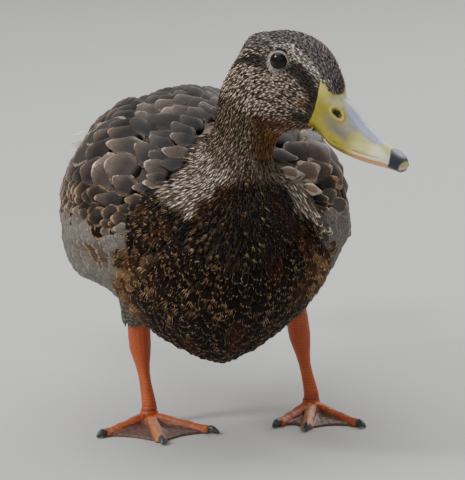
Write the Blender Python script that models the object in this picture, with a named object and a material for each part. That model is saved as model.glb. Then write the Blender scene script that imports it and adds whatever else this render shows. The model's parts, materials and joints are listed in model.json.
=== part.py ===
"""A mallard standing on both feet, with its head turned to its own left.

The bird faces -Y, its left side is at +X and its soles lie on the plane Z = 0. The trunk, neck and
head are one loft through named stations, parted at two rings. The wings and the folded primaries are
plates bent over that same loft, and the trunk is hollowed to receive them. The tail, bill, legs and
webbed feet are lofts of their own, the claws and hind toes are tapered curves, and the eyes are
spheres. Lengths are written in millimetres and become metres when a mesh is made.
"""

import math

import bmesh
import bpy
import numpy as np

MM = 0.001
GAP = 0.3  # clearance between two solids that touch

# ---- driving sizes -------------------------------------------------------------------------------

EYE_LEVEL = (34.0, -100.0, 225.0)  # point of the head's midplane level with the eyes
HEAD_TURN = 50.0  # degrees to the bird's left
HEAD_NOD = 18.0  # degrees below the level
EYE_RADIUS = 6.2
EYE_SPOT = (-2.0, -1.8, 13.0)  # each eye's centre: ahead, above, and aside of the midplane

ANKLE_HEIGHT = 50.0
THIGH_RADIUS = 6.9  # at the ankle
THIGH_SWELL = 7.5  # added to it at the top
THIGH_CLEARANCE = 0.4
FOOT_HEIGHT = 6.5  # top of the foot at the foot joint
JOINT_REACH = 6.4  # radius of the flat dome over the foot joint
JOINT_SLOPE = 9.0  # length over which that dome falls to the toes and webs
HEEL_REACH = 5.6
WEB_THICKNESS = 1.7
WEB_HOLLOW = 0.16  # how far a web's edge curves in, as a share of the toes' reach
TOE_RADIUS = 3.3
TOE_FALL = 0.42  # share of its height that a toe loses towards its tip
TOE_HALF_ANGLE = 4.6  # degrees
CLAW_LENGTH = 7.0

BILL_POWER = 2.1
LOWER_BILL_POWER = 2.4

AROUND = 32  # points in a body ring
RINGS_PER_STATION = 2.5
SMALL = 0.01  # step in station or in radians over which a slope is taken

# Body stations from the tail root to the throat: the ring's top and bottom (y, z) in the midplane,
# its half width, how far down the ring its widest point lies, and the powers of its upper and lower
# half: above 2 a ring is squarer than an ellipse, below 2 more pointed.
TRUNK_STATIONS = (
    ((195, 143), (195, 120), 23, 0.50, 2.0, 1.85),
    ((160, 158), (165, 105), 38, 0.49, 1.9, 1.85),
    ((120, 173), (125, 87), 53, 0.49, 1.82, 1.8),
    ((75, 186), (80, 68), 67, 0.49, 1.78, 1.7),
    ((30, 194), (30, 54), 75.5, 0.50, 1.78, 1.55),
    ((-10, 194), (-15, 47), 77.5, 0.50, 1.82, 1.45),
    ((-40, 188), (-60, 48), 74.5, 0.50, 1.95, 1.45),
    ((-52, 182), (-98, 66), 65.5, 0.50, 2.25, 1.45),
    ((-56, 179), (-119, 98), 50, 0.50, 2.2, 1.6),
    ((-58, 178), (-121, 129), 30, 0.50, 2.1, 1.85),
)
NECK_STATIONS = (
    ((3, -59, 178.5), (6, -113, 150), 21.5, 0.50, 0.15),
    ((2, -64, 183), (13, -104, 165), 19.8, 0.50, 0.6),
)
# Head stations: the ring's top and bottom (ahead of the eyes, above the eyes), half width, widest.
HEAD_STATIONS = (
    ((-34.5, -47.5), (3, -46), 18.8, 0.50),
    ((-36, -31), (8, -41.5), 20.0, 0.50),
    ((-33.5, -14), (12, -38.5), 21.0, 0.52),
    ((-25.5, 1.5), (16, -37), 21.0, 0.55),
    ((-12, 11.4), (19, -35.5), 20.0, 0.53),
    ((2, 14.0), (21.5, -34), 18.0, 0.51),
    ((13, 12.6), (24, -33), 15.4, 0.50),
    ((22.5, 7), (26, -32.4), 13.0, 0.50),
    ((29.5, -0.5), (28, -32.3), 11.7, 0.50),
)
TAIL_STATIONS = (
    ((195, 143), (195, 120), 23, 2.0),
    ((212, 141), (214, 124), 28, 2.6),
    ((235, 138), (237, 128.5), 32, 3.4),
    ((260, 134.5), (260, 130.5), 35, 4.0),
    ((274, 132.6), (274, 130.8), 29, 4.0),
)
# Upper bill: culmen (ahead, above), cutting edge (ahead, above), half width.
BILL_STATIONS = (
    ((30.0, -1.2), (28.4, -30.3), 11.7),
    ((34, -9.0), (33, -31.8), 11.5),
    ((41, -12.8), (40, -33.3), 10.7),
    ((51, -18.2), (51, -33.8), 10.2),
    ((62, -22.3), (62, -32.8), 10.3),
    ((71, -24.8), (71, -31.4), 10.3),
    ((77.5, -27.0), (77.3, -31.6), 8.2),
    ((81, -30.4), (80.8, -33.2), 3.8),
)
LOWER_BILL_DEPTH = (3.0, 2.8, 2.6, 2.9, 3.3, 3.5, 2.4)
LOWER_BILL_SHARE = 0.88  # its half width against the upper bill's

# The shank's half width and half depth from the ankle to the foot joint.
SHANK_SIZES = ((6.3, 6.6), (6.4, 6.9), (3.5, 4.6), (4.3, 4.8), (5.3, 5.4))
# Shares of the reach at which a foot's rays have their points.
RAY_SHARES = (0.24, 0.36, 0.5, 0.64, 0.78, 0.9, 0.97, 1.0)
# A claw: distance from its root, height, radius.
CLAW_PROFILE = ((0.0, 2.3, 2.1), (2.4, 2.5, 2.0), (4.8, 1.9, 1.4), (CLAW_LENGTH, 0.9, 0.6))
# The hind toe: distance behind the foot joint, height, radius.
HIND_TOE_PROFILE = ((7.6, 14.5, 2.0), (10.4, 12.4, 2.0), (13.4, 9.2, 1.5), (15.6, 6.2, 0.6))

# Plates over the body: front and rear station, middle angle front and rear, half spread, outer lift.
WING = {"run": (6.75, 2.35), "middle": (68, 54), "spread": 34, "lift": (1.2, 2.6), "depth": 3.4,
        "cells": (14, 6)}
PRIMARIES = {"run": (2.27, 0.12), "middle": (44, 30), "spread": 15, "lift": (2.6, 5.0),
             "depth": 1.0, "cells": (10, 5)}
PLATE_CROWN = 0.35  # share of the lift that a plate loses towards its long edges
HOLLOW_ANGLE = 0.3  # degrees by which a plate's hollow is wider on each side
HOLLOW_RUN = 0.012  # stations by which it is longer at each end
HOLLOW_HEIGHT = 6.0  # how far the cutter stands out of the body

# Each leg: side of the body, thigh top, ankle, foot joint, and the toes' bearing and reach, with
# bearings in degrees from straight ahead, positive to the bird's left.
LEGS = {
    "right": {
        "thigh": (-36, 6, 92),
        "ankle": (-33.5, 22, ANKLE_HEIGHT),
        "foot": (-29, 13),
        "toes": {"outer": (-46, 49), "middle": (-1, 58), "inner": (44, 50)},
    },
    "left": {
        "thigh": (43, 17, 90),
        "ankle": (62, 34, ANKLE_HEIGHT),
        "foot": (68.5, 27),
        "toes": {"outer": (24, 54), "middle": (-14, 54), "inner": (-37, 50)},
    },
}


# ---- the head's own directions -------------------------------------------------------------------

def head_axes():
    """Forward, left and up as the head sees them."""
    turn = math.radians(HEAD_TURN)
    nod = math.radians(HEAD_NOD)
    heading = np.array((math.sin(turn), -math.cos(turn), 0.0))
    upright = np.array((0.0, 0.0, 1.0))
    forward = math.cos(nod) * heading - math.sin(nod) * upright
    up = math.sin(nod) * heading + math.cos(nod) * upright
    return forward, np.cross(up, forward), up


FORWARD, HEAD_LEFT, HEAD_UP = head_axes()
BODY_LEFT = np.array((1.0, 0.0, 0.0))


def head_point(ahead, above, left=0.0):
    return np.array(EYE_LEVEL) + ahead * FORWARD + above * HEAD_UP + left * HEAD_LEFT


# ---- rings and lofts -----------------------------------------------------------------------------

def station(top, bottom, left, half_width, widest, power=2.0, lower_power=None):
    """One row of a loft: two midplane points, the sideways direction, and four numbers."""
    numbers = (half_width, widest, power, lower_power or power)
    return np.concatenate((top, bottom, left, numbers)).astype(float)


def between(rows, position):
    """The row at a fractional place among the stations, on a Catmull-Rom curve."""
    last = len(rows) - 1
    index = max(0, min(int(position), last - 1))
    step = position - index
    here = rows[index]
    after = rows[index + 1]
    before = rows[index - 1] if index > 0 else 2 * here - after
    beyond = rows[index + 2] if index + 2 <= last else 2 * after - here
    slope = after - before
    bend = 2 * before - 5 * here + 4 * after - beyond
    twist = 3 * here - before - 3 * after + beyond
    return 0.5 * (2 * here + slope * step + bend * step**2 + twist * step**3)


def ring_point(row, angle):
    """A point of a station's ring; angle 0 is its top and positive angles go to the left."""
    top, bottom, left = row[0:3], row[3:6], row[6:9]
    half_width, widest, upper_power, lower_power = row[9:13]
    centre = top + (bottom - top) * widest
    rise = math.cos(angle)
    aside = math.sin(angle)
    power = upper_power if rise > 0 else lower_power
    reach = abs(rise) ** (2 / power)
    end = top if rise > 0 else bottom
    width = half_width * math.copysign(abs(aside) ** (2 / power), aside)
    return centre + (end - centre) * reach + left / np.linalg.norm(left) * width


def ring(row, count=AROUND):
    return np.array([ring_point(row, 2 * math.pi * i / count) for i in range(count)])


def ring_normal(row):
    """The direction in which a ring faces, towards the head."""
    normal = np.cross(row[3:6] - row[0:3], row[6:9])
    return normal / np.linalg.norm(normal)


def rings_from(rows, first, last, per_station, count=AROUND, shift=(GAP / 2, GAP / 2)):
    """Rings between two places, each end drawn in by its share of the gap."""
    steps = max(2, round(abs(last - first) * per_station))
    places = np.linspace(first, last, steps + 1)
    rings = [ring(between(rows, place), count) for place in places]
    rings[0] = rings[0] + shift[0] * ring_normal(between(rows, first))
    rings[-1] = rings[-1] - shift[1] * ring_normal(between(rows, last))
    return np.array(rings)


# ---- meshes --------------------------------------------------------------------------------------

def material(name, colour, roughness):
    made = bpy.data.materials.new(name)
    made.use_nodes = True
    shader = made.node_tree.nodes["Principled BSDF"]
    shader.inputs["Base Color"].default_value = (*colour, 1.0)
    shader.inputs["Roughness"].default_value = roughness
    shader.inputs["Metallic"].default_value = 0.0
    return made


def add_object(name, points, faces, finish, collection):
    """A closed mesh from points in millimetres, with its faces turned outwards."""
    mesh = bpy.data.meshes.new(name)
    mesh.from_pydata([tuple(point) for point in np.asarray(points) * MM], [], faces)
    shell = bmesh.new()
    shell.from_mesh(mesh)
    bmesh.ops.recalc_face_normals(shell, faces=shell.faces)
    bmesh.ops.triangulate(shell, faces=[face for face in shell.faces if len(face.verts) > 4])
    shell.to_mesh(mesh)
    shell.free()
    mesh.shade_smooth()
    mesh.set_sharp_from_angle(angle=math.radians(40))
    made = bpy.data.objects.new(name, mesh)
    collection.objects.link(made)
    if finish:
        mesh.materials.append(finish)
    return made


def loft(name, rings, finish, collection):
    """Skins a stack of rings of equal count and closes both ends."""
    levels, count = rings.shape[:2]
    faces = []
    for level in range(levels - 1):
        for i in range(count):
            j = (i + 1) % count
            faces.append((level * count + i, level * count + j,
                          (level + 1) * count + j, (level + 1) * count + i))
    faces.append(tuple(range(count)))
    faces.append(tuple((levels - 1) * count + i for i in reversed(range(count))))
    return add_object(name, rings.reshape(-1, 3), faces, finish, collection)


def slab(name, outer, inner, finish, collection):
    """A plate between two grids of points of the same size."""
    rows, columns = outer.shape[:2]
    size = rows * columns
    rim = [(0, c) for c in range(columns - 1)] + [(r, columns - 1) for r in range(rows - 1)]
    rim += [(rows - 1, c) for c in range(columns - 1, 0, -1)] + [(r, 0) for r in range(rows - 1, 0, -1)]
    faces = []
    for r in range(rows - 1):
        for c in range(columns - 1):
            corners = (r * columns + c, r * columns + c + 1,
                       (r + 1) * columns + c + 1, (r + 1) * columns + c)
            faces.append(corners)
            faces.append(tuple(size + corner for corner in reversed(corners)))
    for here, there in zip(rim, rim[1:] + rim[:1]):
        a = here[0] * columns + here[1]
        b = there[0] * columns + there[1]
        faces.append((b, a, size + a, size + b))
    points = np.concatenate((outer.reshape(-1, 3), inner.reshape(-1, 3)))
    return add_object(name, points, faces, finish, collection)


def carve(target, cutters, solver="EXACT"):
    """Hollows a solid by each cutter, with one Boolean modifier apiece."""
    for cutter in cutters:
        cutter.hide_render = True
        cutter.display_type = "WIRE"
        cut = target.modifiers.new("Hollow for " + cutter.name, "BOOLEAN")
        cut.operation = "DIFFERENCE"
        cut.solver = solver
        cut.object = cutter


def tapered_curve(name, points, radii, finish, collection):
    """A filled tube along a few points, thinning from one to the next."""
    curve = bpy.data.curves.new(name, "CURVE")
    curve.dimensions = "3D"
    curve.bevel_depth = MM
    curve.bevel_resolution = 2
    curve.use_fill_caps = True
    spline = curve.splines.new("POLY")
    spline.points.add(len(points) - 1)
    for knot, point, radius in zip(spline.points, points, radii):
        knot.co = (*(np.asarray(point) * MM), 1.0)
        knot.radius = radius
    curve.materials.append(finish)
    made = bpy.data.objects.new(name, curve)
    collection.objects.link(made)
    return made


# ---- body ----------------------------------------------------------------------------------------

def body_rows():
    """Every station from the tail root to the bill base, and where neck and head begin."""
    rows = [station((0, *top), (0, *bottom), BODY_LEFT, half_width, widest, back_power, keel_power)
            for top, bottom, half_width, widest, back_power, keel_power in TRUNK_STATIONS]
    neck = len(rows)
    for top, bottom, half_width, widest, turn in NECK_STATIONS:
        left = BODY_LEFT * (1 - turn) + HEAD_LEFT * turn
        rows.append(station(top, bottom, left, half_width, widest))
    head = len(rows)
    for top, bottom, half_width, widest in HEAD_STATIONS:
        rows.append(station(head_point(*top), head_point(*bottom), HEAD_LEFT, half_width, widest))
    return rows, neck, head


def make_body(rows, neck, head, finish, parts):
    last = len(rows) - 1
    trunk = loft("trunk", rings_from(rows, 0, neck, RINGS_PER_STATION), finish, parts)
    loft("neck", rings_from(rows, neck, head, 3), finish, parts)
    skull = loft("head", rings_from(rows, head, last, 2), finish, parts)
    return trunk, skull


def make_tail(finish, parts):
    rows = [station((0, *top), (0, *bottom), BODY_LEFT, half_width, 0.5, power)
            for top, bottom, half_width, power in reversed(TAIL_STATIONS)]
    loft("tail", rings_from(rows, 0, len(rows) - 1, 2, 24, (0, GAP / 2)), finish, parts)


# ---- wings ---------------------------------------------------------------------------------------

def lifted_point(rows, place, angle, lift):
    """A point over the body, raised along the body's own normal."""
    row = between(rows, place)
    here = ring_point(row, angle)
    along = ring_point(between(rows, place + SMALL), angle) - ring_point(between(rows, place - SMALL), angle)
    across = ring_point(row, angle + SMALL) - ring_point(row, angle - SMALL)
    normal = np.cross(across, along)
    return here + normal / np.linalg.norm(normal) * lift


def plate_width(share):
    """A plate's width along its run, against its widest: rounded in front and drawn out behind."""
    narrow, skew, fullness = 0.16, 0.8, 0.6
    arch = math.sin(math.pi * (0.06 + 0.84 * share) ** skew)
    return narrow + (1 - narrow) * arch ** fullness


def plate_grids(rows, plate, side, grow=0.0, above=0.0):
    """Outer and inner points of a plate; grow widens it for the hollow that it lies in."""
    lengthwise, crosswise = plate["cells"]
    extra_angle = HOLLOW_ANGLE if grow else 0.0
    extra_run = HOLLOW_RUN if grow else 0.0
    front, rear = plate["run"][0] + extra_run, plate["run"][1] - extra_run
    outer, inner = [], []
    for share in np.linspace(0, 1, lengthwise + 1):
        place = front + (rear - front) * share
        middle = plate["middle"][0] + (plate["middle"][1] - plate["middle"][0]) * share
        lift = plate["lift"][0] + (plate["lift"][1] - plate["lift"][0]) * share
        spread = plate["spread"] * plate_width(share) + extra_angle
        outer_row, inner_row = [], []
        for across in np.linspace(-1, 1, crosswise + 1):
            angle = side * math.radians(middle + spread * across)
            crowned = lift * (1 - PLATE_CROWN * across**2) + above
            outer_row.append(lifted_point(rows, place, angle, crowned))
            inner_row.append(lifted_point(rows, place, angle, -plate["depth"] - grow))
        outer.append(outer_row)
        inner.append(inner_row)
    return np.array(outer), np.array(inner)


def make_wings(rows, finish, tip_finish, parts, cutters):
    """Both wings and both bundles of primaries, and a cutter for each."""
    made = []
    for plate_name, plate, plate_finish in (("wing", WING, finish), ("primaries", PRIMARIES, tip_finish)):
        for side_name, side in (("left", 1), ("right", -1)):
            name = plate_name + "_" + side_name
            slab(name, *plate_grids(rows, plate, side), plate_finish, parts)
            hollow = plate_grids(rows, plate, side, GAP, HOLLOW_HEIGHT)
            made.append(slab("cut_" + name, *hollow, None, cutters))
    return made


# ---- bill and eyes -------------------------------------------------------------------------------

def bill_ring(culmen, edge, half_width, dome, count=20):
    """A ring with a flat side along the cutting edge and a dome towards the culmen."""
    top = head_point(*culmen)
    base = head_point(*edge)
    points = []
    for i in range(count // 2 + 1):
        angle = math.pi * i / (count // 2) - math.pi / 2
        rise = abs(math.cos(angle)) ** (2 / dome)
        aside = math.copysign(abs(math.sin(angle)) ** (2 / dome), math.sin(angle))
        points.append(base + (top - base) * rise + HEAD_LEFT * half_width * aside)
    for i in range(1, count // 2):
        points.append(base + HEAD_LEFT * half_width * (1 - 2 * i / (count // 2)))
    return np.array(points)


def refined(rows, per_station):
    places = np.linspace(0, len(rows) - 1, (len(rows) - 1) * per_station + 1)
    return [between(rows, place) for place in places]


def make_bill(finish, parts):
    rows = [np.array((*culmen, *edge, half_width)) for culmen, edge, half_width in BILL_STATIONS]
    upper = [bill_ring(row[0:2], row[2:4], row[4], BILL_POWER) for row in refined(rows, 2)]
    loft("bill_upper", np.array(upper), finish, parts)
    lower_rows = []
    for (_, edge, half_width), depth in zip(BILL_STATIONS, LOWER_BILL_DEPTH):
        ahead, above = edge[0], edge[1] - GAP
        lower_rows.append(np.array((ahead, above - depth, ahead, above, half_width * LOWER_BILL_SHARE)))
    lower = [bill_ring(row[0:2], row[2:4], row[4], LOWER_BILL_POWER, 16) for row in refined(lower_rows, 2)]
    loft("bill_lower", np.array(lower), finish, parts)


def make_eyes(skull, finish, parts, cutters):
    """Two eyeballs, and the sockets they sit in."""
    sockets = []
    for side_name, side in (("left", 1), ("right", -1)):
        centre = head_point(EYE_SPOT[0], EYE_SPOT[1], side * EYE_SPOT[2]) * MM
        for name, radius, home in (("eye_" + side_name, EYE_RADIUS, parts),
                                   ("cut_eye_" + side_name, EYE_RADIUS + GAP, cutters)):
            bpy.ops.mesh.primitive_uv_sphere_add(segments=16, ring_count=10, radius=radius * MM)
            ball = bpy.context.object
            ball.name = name
            ball.location = centre
            ball.rotation_euler = (0, math.pi / 2, math.atan2(HEAD_LEFT[1], HEAD_LEFT[0]))
            ball.data.shade_smooth()
            for collection in list(ball.users_collection):
                collection.objects.unlink(ball)
            home.objects.link(ball)
            if home is parts:
                ball.data.materials.append(finish)
            else:
                sockets.append(ball)
    carve(skull, sockets)


# ---- legs and feet -------------------------------------------------------------------------------

def leg_line(points, samples):
    """Centres and directions along a smooth curve through the leg's points."""
    rows = [np.array(point, float) for point in points]
    places = np.linspace(0, len(rows) - 1, samples)
    centres = [between(rows, place) for place in places]
    last = len(rows) - 1
    slopes = [between(rows, min(place + SMALL, last)) - between(rows, max(place - SMALL, 0))
              for place in places]
    return centres, [slope / np.linalg.norm(slope) for slope in slopes]


def leg_ring(centre, direction, wide, deep, count=14):
    """An oval ring square to the leg's line, wide across the body and deep along it."""
    across = np.cross(direction, (0.0, 1.0, 0.0))
    across /= np.linalg.norm(across)
    ahead = np.cross(direction, across)
    turns = [2 * math.pi * i / count for i in range(count)]
    return np.array([centre + across * wide * math.cos(a) + ahead * deep * math.sin(a) for a in turns])


def make_leg(side_name, leg, finishes, parts, cutters):
    """Thigh and shank of one leg; returns the cutter that frees the thigh from the trunk."""
    thigh, ankle = np.array(leg["thigh"], float), np.array(leg["ankle"], float)
    foot = np.array((*leg["foot"], FOOT_HEIGHT + GAP))
    down = np.array((0.0, 0.0, -1.0))
    bend = 0.5 * (thigh + ankle) + np.array((0, 3.0, -2.0))
    centres, directions = leg_line((thigh, bend, ankle), 7)
    directions[-1] = down
    for name, grow, home in (("thigh_", 0.0, parts), ("cut_thigh_", THIGH_CLEARANCE, cutters)):
        rings = []
        for step, (centre, direction) in enumerate(zip(centres, directions)):
            share = step / (len(centres) - 1)
            radius = THIGH_RADIUS + THIGH_SWELL * (1 - share) ** 1.15 + grow
            rings.append(leg_ring(centre, direction, radius, radius * 1.05))
        rings = np.array(rings)
        rings[0] -= directions[0] * grow
        made = loft(name + side_name, rings, finishes["thigh"], home)
    shank_top = ankle + down * GAP
    middle = 0.5 * (shank_top + foot)
    calf = shank_top * 0.72 + middle * 0.28
    above_foot = foot + (0, 1.0, 5.0)
    centres, directions = leg_line((shank_top, calf, middle, above_foot, foot), 13)
    directions[0] = directions[-1] = down
    sizes = [np.array(pair) for pair in SHANK_SIZES]
    places = np.linspace(0, len(sizes) - 1, len(centres))
    rings = [leg_ring(centre, direction, *between(sizes, place))
             for centre, direction, place in zip(centres, directions, places)]
    loft("shank_" + side_name, np.array(rings), finishes["leg"], parts)
    return made


def toe_height(along, reach):
    """Height of a toe's back above the ground, from the foot joint to its tip."""
    return 2 * TOE_RADIUS * (1 - TOE_FALL * min(1.0, along / reach))


def make_foot(side_name, leg, finishes, parts):
    """A flat-soled webbed foot drawn as a fan about the foot joint, with its claws."""
    joint = np.array(leg["foot"], float)
    toes = sorted((math.radians(bearing), reach - CLAW_LENGTH) for bearing, reach in leg["toes"].values())
    toe_half = math.radians(TOE_HALF_ANGLE)
    bearings = []
    for index, (bearing, _) in enumerate(toes):
        bearings += [bearing + toe_half * share for share in (-1.0, -0.7, 0.0, 0.7, 1.0)]
        if index + 1 < len(toes):
            first, last = bearing + toe_half, toes[index + 1][0] - toe_half
            bearings += list(np.linspace(first, last, 5)[1:-1])
    bearings += list(np.linspace(bearings[-1], bearings[0] + 2 * math.pi, 9)[1:-1])
    top, rim = [], []
    for bearing in bearings:
        reach = outline_reach(bearing, toes, toe_half)
        heading = np.array((math.sin(bearing), -math.cos(bearing)))
        for share in RAY_SHARES:
            height = foot_height(bearing, reach * share, reach, toes)
            if share == RAY_SHARES[-1]:
                height = min(height, WEB_THICKNESS * 0.7)
            top.append((*(joint + heading * reach * share), height))
        rim.append((*(joint + heading * reach), 0.0))
    rays, steps = len(bearings), len(RAY_SHARES)
    points = top + rim
    faces = [tuple(r * steps for r in range(rays))]
    for r in range(rays):
        n = (r + 1) % rays
        for s in range(steps - 1):
            faces.append((r * steps + s, r * steps + s + 1, n * steps + s + 1, n * steps + s))
        edge, next_edge = rays * steps + r, rays * steps + n
        faces.append((r * steps + steps - 1, edge, next_edge, n * steps + steps - 1))
    faces.append(tuple(rays * steps + r for r in range(rays)))
    add_object("foot_" + side_name, points, faces, finishes["leg"], parts)
    for toe_name, (bearing, reach) in leg["toes"].items():
        make_claw("claw_" + toe_name + "_" + side_name, joint, math.radians(bearing), reach, finishes, parts)


def outline_reach(bearing, toes, toe_half):
    """How far the foot reaches on a bearing: toes, hollowed web edges, and the round heel."""
    for (low, low_reach), (high, high_reach) in zip(toes, toes[1:]):
        if low + toe_half <= bearing <= high - toe_half:
            share = (bearing - low) / (high - low)
            straight = low_reach + (high_reach - low_reach) * share
            return straight * (0.97 - WEB_HOLLOW * math.sin(math.pi * share))
    nearest = min(toes, key=lambda toe: abs(toe[0] - bearing))
    off = abs(nearest[0] - bearing) / toe_half
    if off <= 1.0001:
        return nearest[1] * (1.0 - 0.035 * off**2)
    return HEEL_REACH


def foot_height(bearing, along, reach, toes):
    """Height of the foot's back: a ridge on each toe, a thin web between, a dome at the joint."""
    height = WEB_THICKNESS
    for toe_bearing, toe_reach in toes:
        off = along * abs(math.sin(bearing - toe_bearing))
        width = TOE_RADIUS * (1.15 - 0.35 * min(1.0, along / toe_reach))
        if off < width and along <= toe_reach * 1.001:
            ridge = toe_height(along, toe_reach) * math.sqrt(1 - (off / width) ** 2)
            height = max(height, ridge)
    blend = min(1.0, max(0.0, (along - JOINT_REACH) / JOINT_SLOPE))
    return FOOT_HEIGHT * (1 - blend) + height * blend


def make_claw(name, joint, bearing, reach, finishes, parts):
    """A short blunt claw that carries on from the toe's tip and dips to the ground."""
    heading = np.array((math.sin(bearing), -math.cos(bearing), 0.0))
    start = np.array((*joint, 0.0)) + heading * (reach - CLAW_LENGTH + GAP)
    points = [start + heading * ahead + np.array((0, 0, height)) for ahead, height, _ in CLAW_PROFILE]
    tapered_curve(name, points, [radius for _, _, radius in CLAW_PROFILE], finishes["claw"], parts)


def make_hind_toe(side_name, leg, finishes, parts):
    """The small raised hind toe behind the foot joint."""
    x, y = leg["foot"]
    points = [(x, y + behind, height) for behind, height, _ in HIND_TOE_PROFILE]
    radii = [radius for _, _, radius in HIND_TOE_PROFILE]
    tapered_curve("hind_toe_" + side_name, points, radii, finishes["leg"], parts)


# ---- assembly ------------------------------------------------------------------------------------

def stand_at_origin(objects):
    """Moves everything so that the middle of its box lies over the origin."""
    bpy.context.view_layer.update()
    graph = bpy.context.evaluated_depsgraph_get()
    corners = []
    for thing in objects:
        evaluated = thing.evaluated_get(graph)
        corners += [evaluated.matrix_world @ vertex.co for vertex in evaluated.to_mesh().vertices]
    box = np.array([tuple(corner) for corner in corners])
    middle = (box.min(axis=0) + box.max(axis=0)) / 2
    for thing in bpy.data.objects:
        thing.location.x -= middle[0]
        thing.location.y -= middle[1]


def main():
    for thing in list(bpy.data.objects):
        bpy.data.objects.remove(thing, do_unlink=True)
    parts = bpy.data.collections.new("mallard")
    cutters = bpy.data.collections.new("cutters")
    bpy.context.scene.collection.children.link(parts)
    bpy.context.scene.collection.children.link(cutters)
    plumage = material("plumage", (0.13, 0.09, 0.07), 0.85)
    flight = material("flight feathers", (0.16, 0.13, 0.12), 0.75)
    bill = material("bill", (0.48, 0.45, 0.12), 0.4)
    eye = material("eye", (0.01, 0.008, 0.006), 0.05)
    finishes = {
        "thigh": material("thigh feathers", (0.12, 0.13, 0.12), 0.85),
        "leg": material("scaled skin", (0.62, 0.16, 0.04), 0.5),
        "claw": material("horn", (0.03, 0.035, 0.04), 0.4),
    }
    rows, neck, head = body_rows()
    trunk, skull = make_body(rows, neck, head, plumage, parts)
    make_tail(flight, parts)
    hollows = make_wings(rows, flight, flight, parts, cutters)
    make_bill(bill, parts)
    make_eyes(skull, eye, parts, cutters)
    for side_name, leg in LEGS.items():
        hollows.append(make_leg(side_name, leg, finishes, parts, cutters))
        make_foot(side_name, leg, finishes, parts)
        make_hind_toe(side_name, leg, finishes, parts)
    # The plates run almost along the body's faces, where the exact solver leaves an edge open.
    carve(trunk, hollows, "MANIFOLD")
    stand_at_origin(list(parts.objects))


main()
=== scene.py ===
# %% [markdown]
# # A mallard, built feather by feather
# This notebook dresses a set of plain solids as a life-size museum model of a mallard. The solids give
# the places and sizes, and everything that shows is made here: one skin, a bill, eyes, legs, and a coat
# of about ten thousand small feathers. We start by loading the frame, whose space the finished bird
# has to fill.

# %% Load the frame
import json
import math
import bmesh
import bpy
import numpy as np
from mathutils import Euler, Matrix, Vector
from mathutils.bvhtree import BVHTree
from mathutils.kdtree import KDTree

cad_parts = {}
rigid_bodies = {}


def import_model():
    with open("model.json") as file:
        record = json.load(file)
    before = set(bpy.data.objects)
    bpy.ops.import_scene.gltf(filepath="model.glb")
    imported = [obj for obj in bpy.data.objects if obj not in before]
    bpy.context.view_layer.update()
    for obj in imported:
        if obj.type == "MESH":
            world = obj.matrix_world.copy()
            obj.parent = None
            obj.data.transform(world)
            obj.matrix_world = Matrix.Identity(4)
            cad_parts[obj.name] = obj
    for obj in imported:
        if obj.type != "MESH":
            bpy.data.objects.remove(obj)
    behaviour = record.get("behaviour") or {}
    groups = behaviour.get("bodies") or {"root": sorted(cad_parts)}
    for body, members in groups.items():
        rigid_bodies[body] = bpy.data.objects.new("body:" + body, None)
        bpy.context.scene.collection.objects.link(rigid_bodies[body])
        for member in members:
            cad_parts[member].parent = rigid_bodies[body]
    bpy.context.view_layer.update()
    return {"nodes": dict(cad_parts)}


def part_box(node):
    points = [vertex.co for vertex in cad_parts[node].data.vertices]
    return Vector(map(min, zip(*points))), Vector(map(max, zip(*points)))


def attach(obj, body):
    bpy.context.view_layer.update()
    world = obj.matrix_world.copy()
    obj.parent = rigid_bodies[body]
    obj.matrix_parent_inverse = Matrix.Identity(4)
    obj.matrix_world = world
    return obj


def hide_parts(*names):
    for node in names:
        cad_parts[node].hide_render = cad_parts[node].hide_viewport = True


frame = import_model()
nodes = frame["nodes"]
MM = 0.001
SIDES = ("left", "right")

# %% [markdown]
# ## Directions on the bird
# The head is turned and nodded, so its markings are easiest to place in its own directions: ahead,
# above and left, in millimetres from the point level with the eyes. The two eyeballs of the frame give
# the sideways direction, and the nod is one named angle. We keep the body's middle line as well.

# %% The head's own frame
HEAD_NOD = math.radians(18)
EYE_SPOT = np.array((-2.0, -1.8))  # the eyes' centre in the head's frame: ahead, above


def middle_of(node):
    low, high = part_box(node)
    return np.array((low + high) / 2)


def unit(vectors):
    vectors = np.asarray(vectors, float)
    return vectors / np.maximum(np.linalg.norm(vectors, axis=-1, keepdims=True), 1e-12)


def lengths(vectors):
    return np.linalg.norm(vectors, axis=1)


eye_centres = {side: middle_of("eye_" + side) for side in SIDES}
UP = np.array((0.0, 0.0, 1.0))
HEAD_LEFT = unit(eye_centres["left"] - eye_centres["right"])
heading = np.cross(HEAD_LEFT, UP)
HEAD_AHEAD = math.cos(HEAD_NOD) * heading - math.sin(HEAD_NOD) * UP
HEAD_ABOVE = math.sin(HEAD_NOD) * heading + math.cos(HEAD_NOD) * UP
HEAD_AXES = np.array((HEAD_AHEAD, HEAD_ABOVE, HEAD_LEFT))
eye_middle = (eye_centres["left"] + eye_centres["right"]) / 2
HEAD_ORIGIN = eye_middle - (EYE_SPOT[0] * HEAD_AHEAD + EYE_SPOT[1] * HEAD_ABOVE) * MM
BODY_X = middle_of("trunk")[0]
EYE_SHIFT = (0.5, 1.0)  # mm ahead and above by which the finished eye leaves the frame's plain ball
for side in eye_centres:
    eye_centres[side] = eye_centres[side] + (EYE_SHIFT[0] * HEAD_AHEAD + EYE_SHIFT[1] * HEAD_ABOVE) * MM


def to_head(points):
    """Ahead, above and left in millimetres."""
    return (np.asarray(points) - HEAD_ORIGIN) @ HEAD_AXES.T / MM


def from_head(ahead, above, left=0.0):
    return HEAD_ORIGIN + (np.array((ahead, above, left)) @ HEAD_AXES) * MM


print("the head looks along", HEAD_AHEAD.round(2))

# %% [markdown]
# ## Camera, floor and light
# A long lens from low down shows the bird as a person who crouches some steps away sees it. The light is
# that of an overcast day: one very large soft lamp overhead, weaker ones in front and behind, a small
# one for the gleam in the eye, and a pale surrounding. Hard lamps would draw a black shadow under
# every feather.

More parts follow.
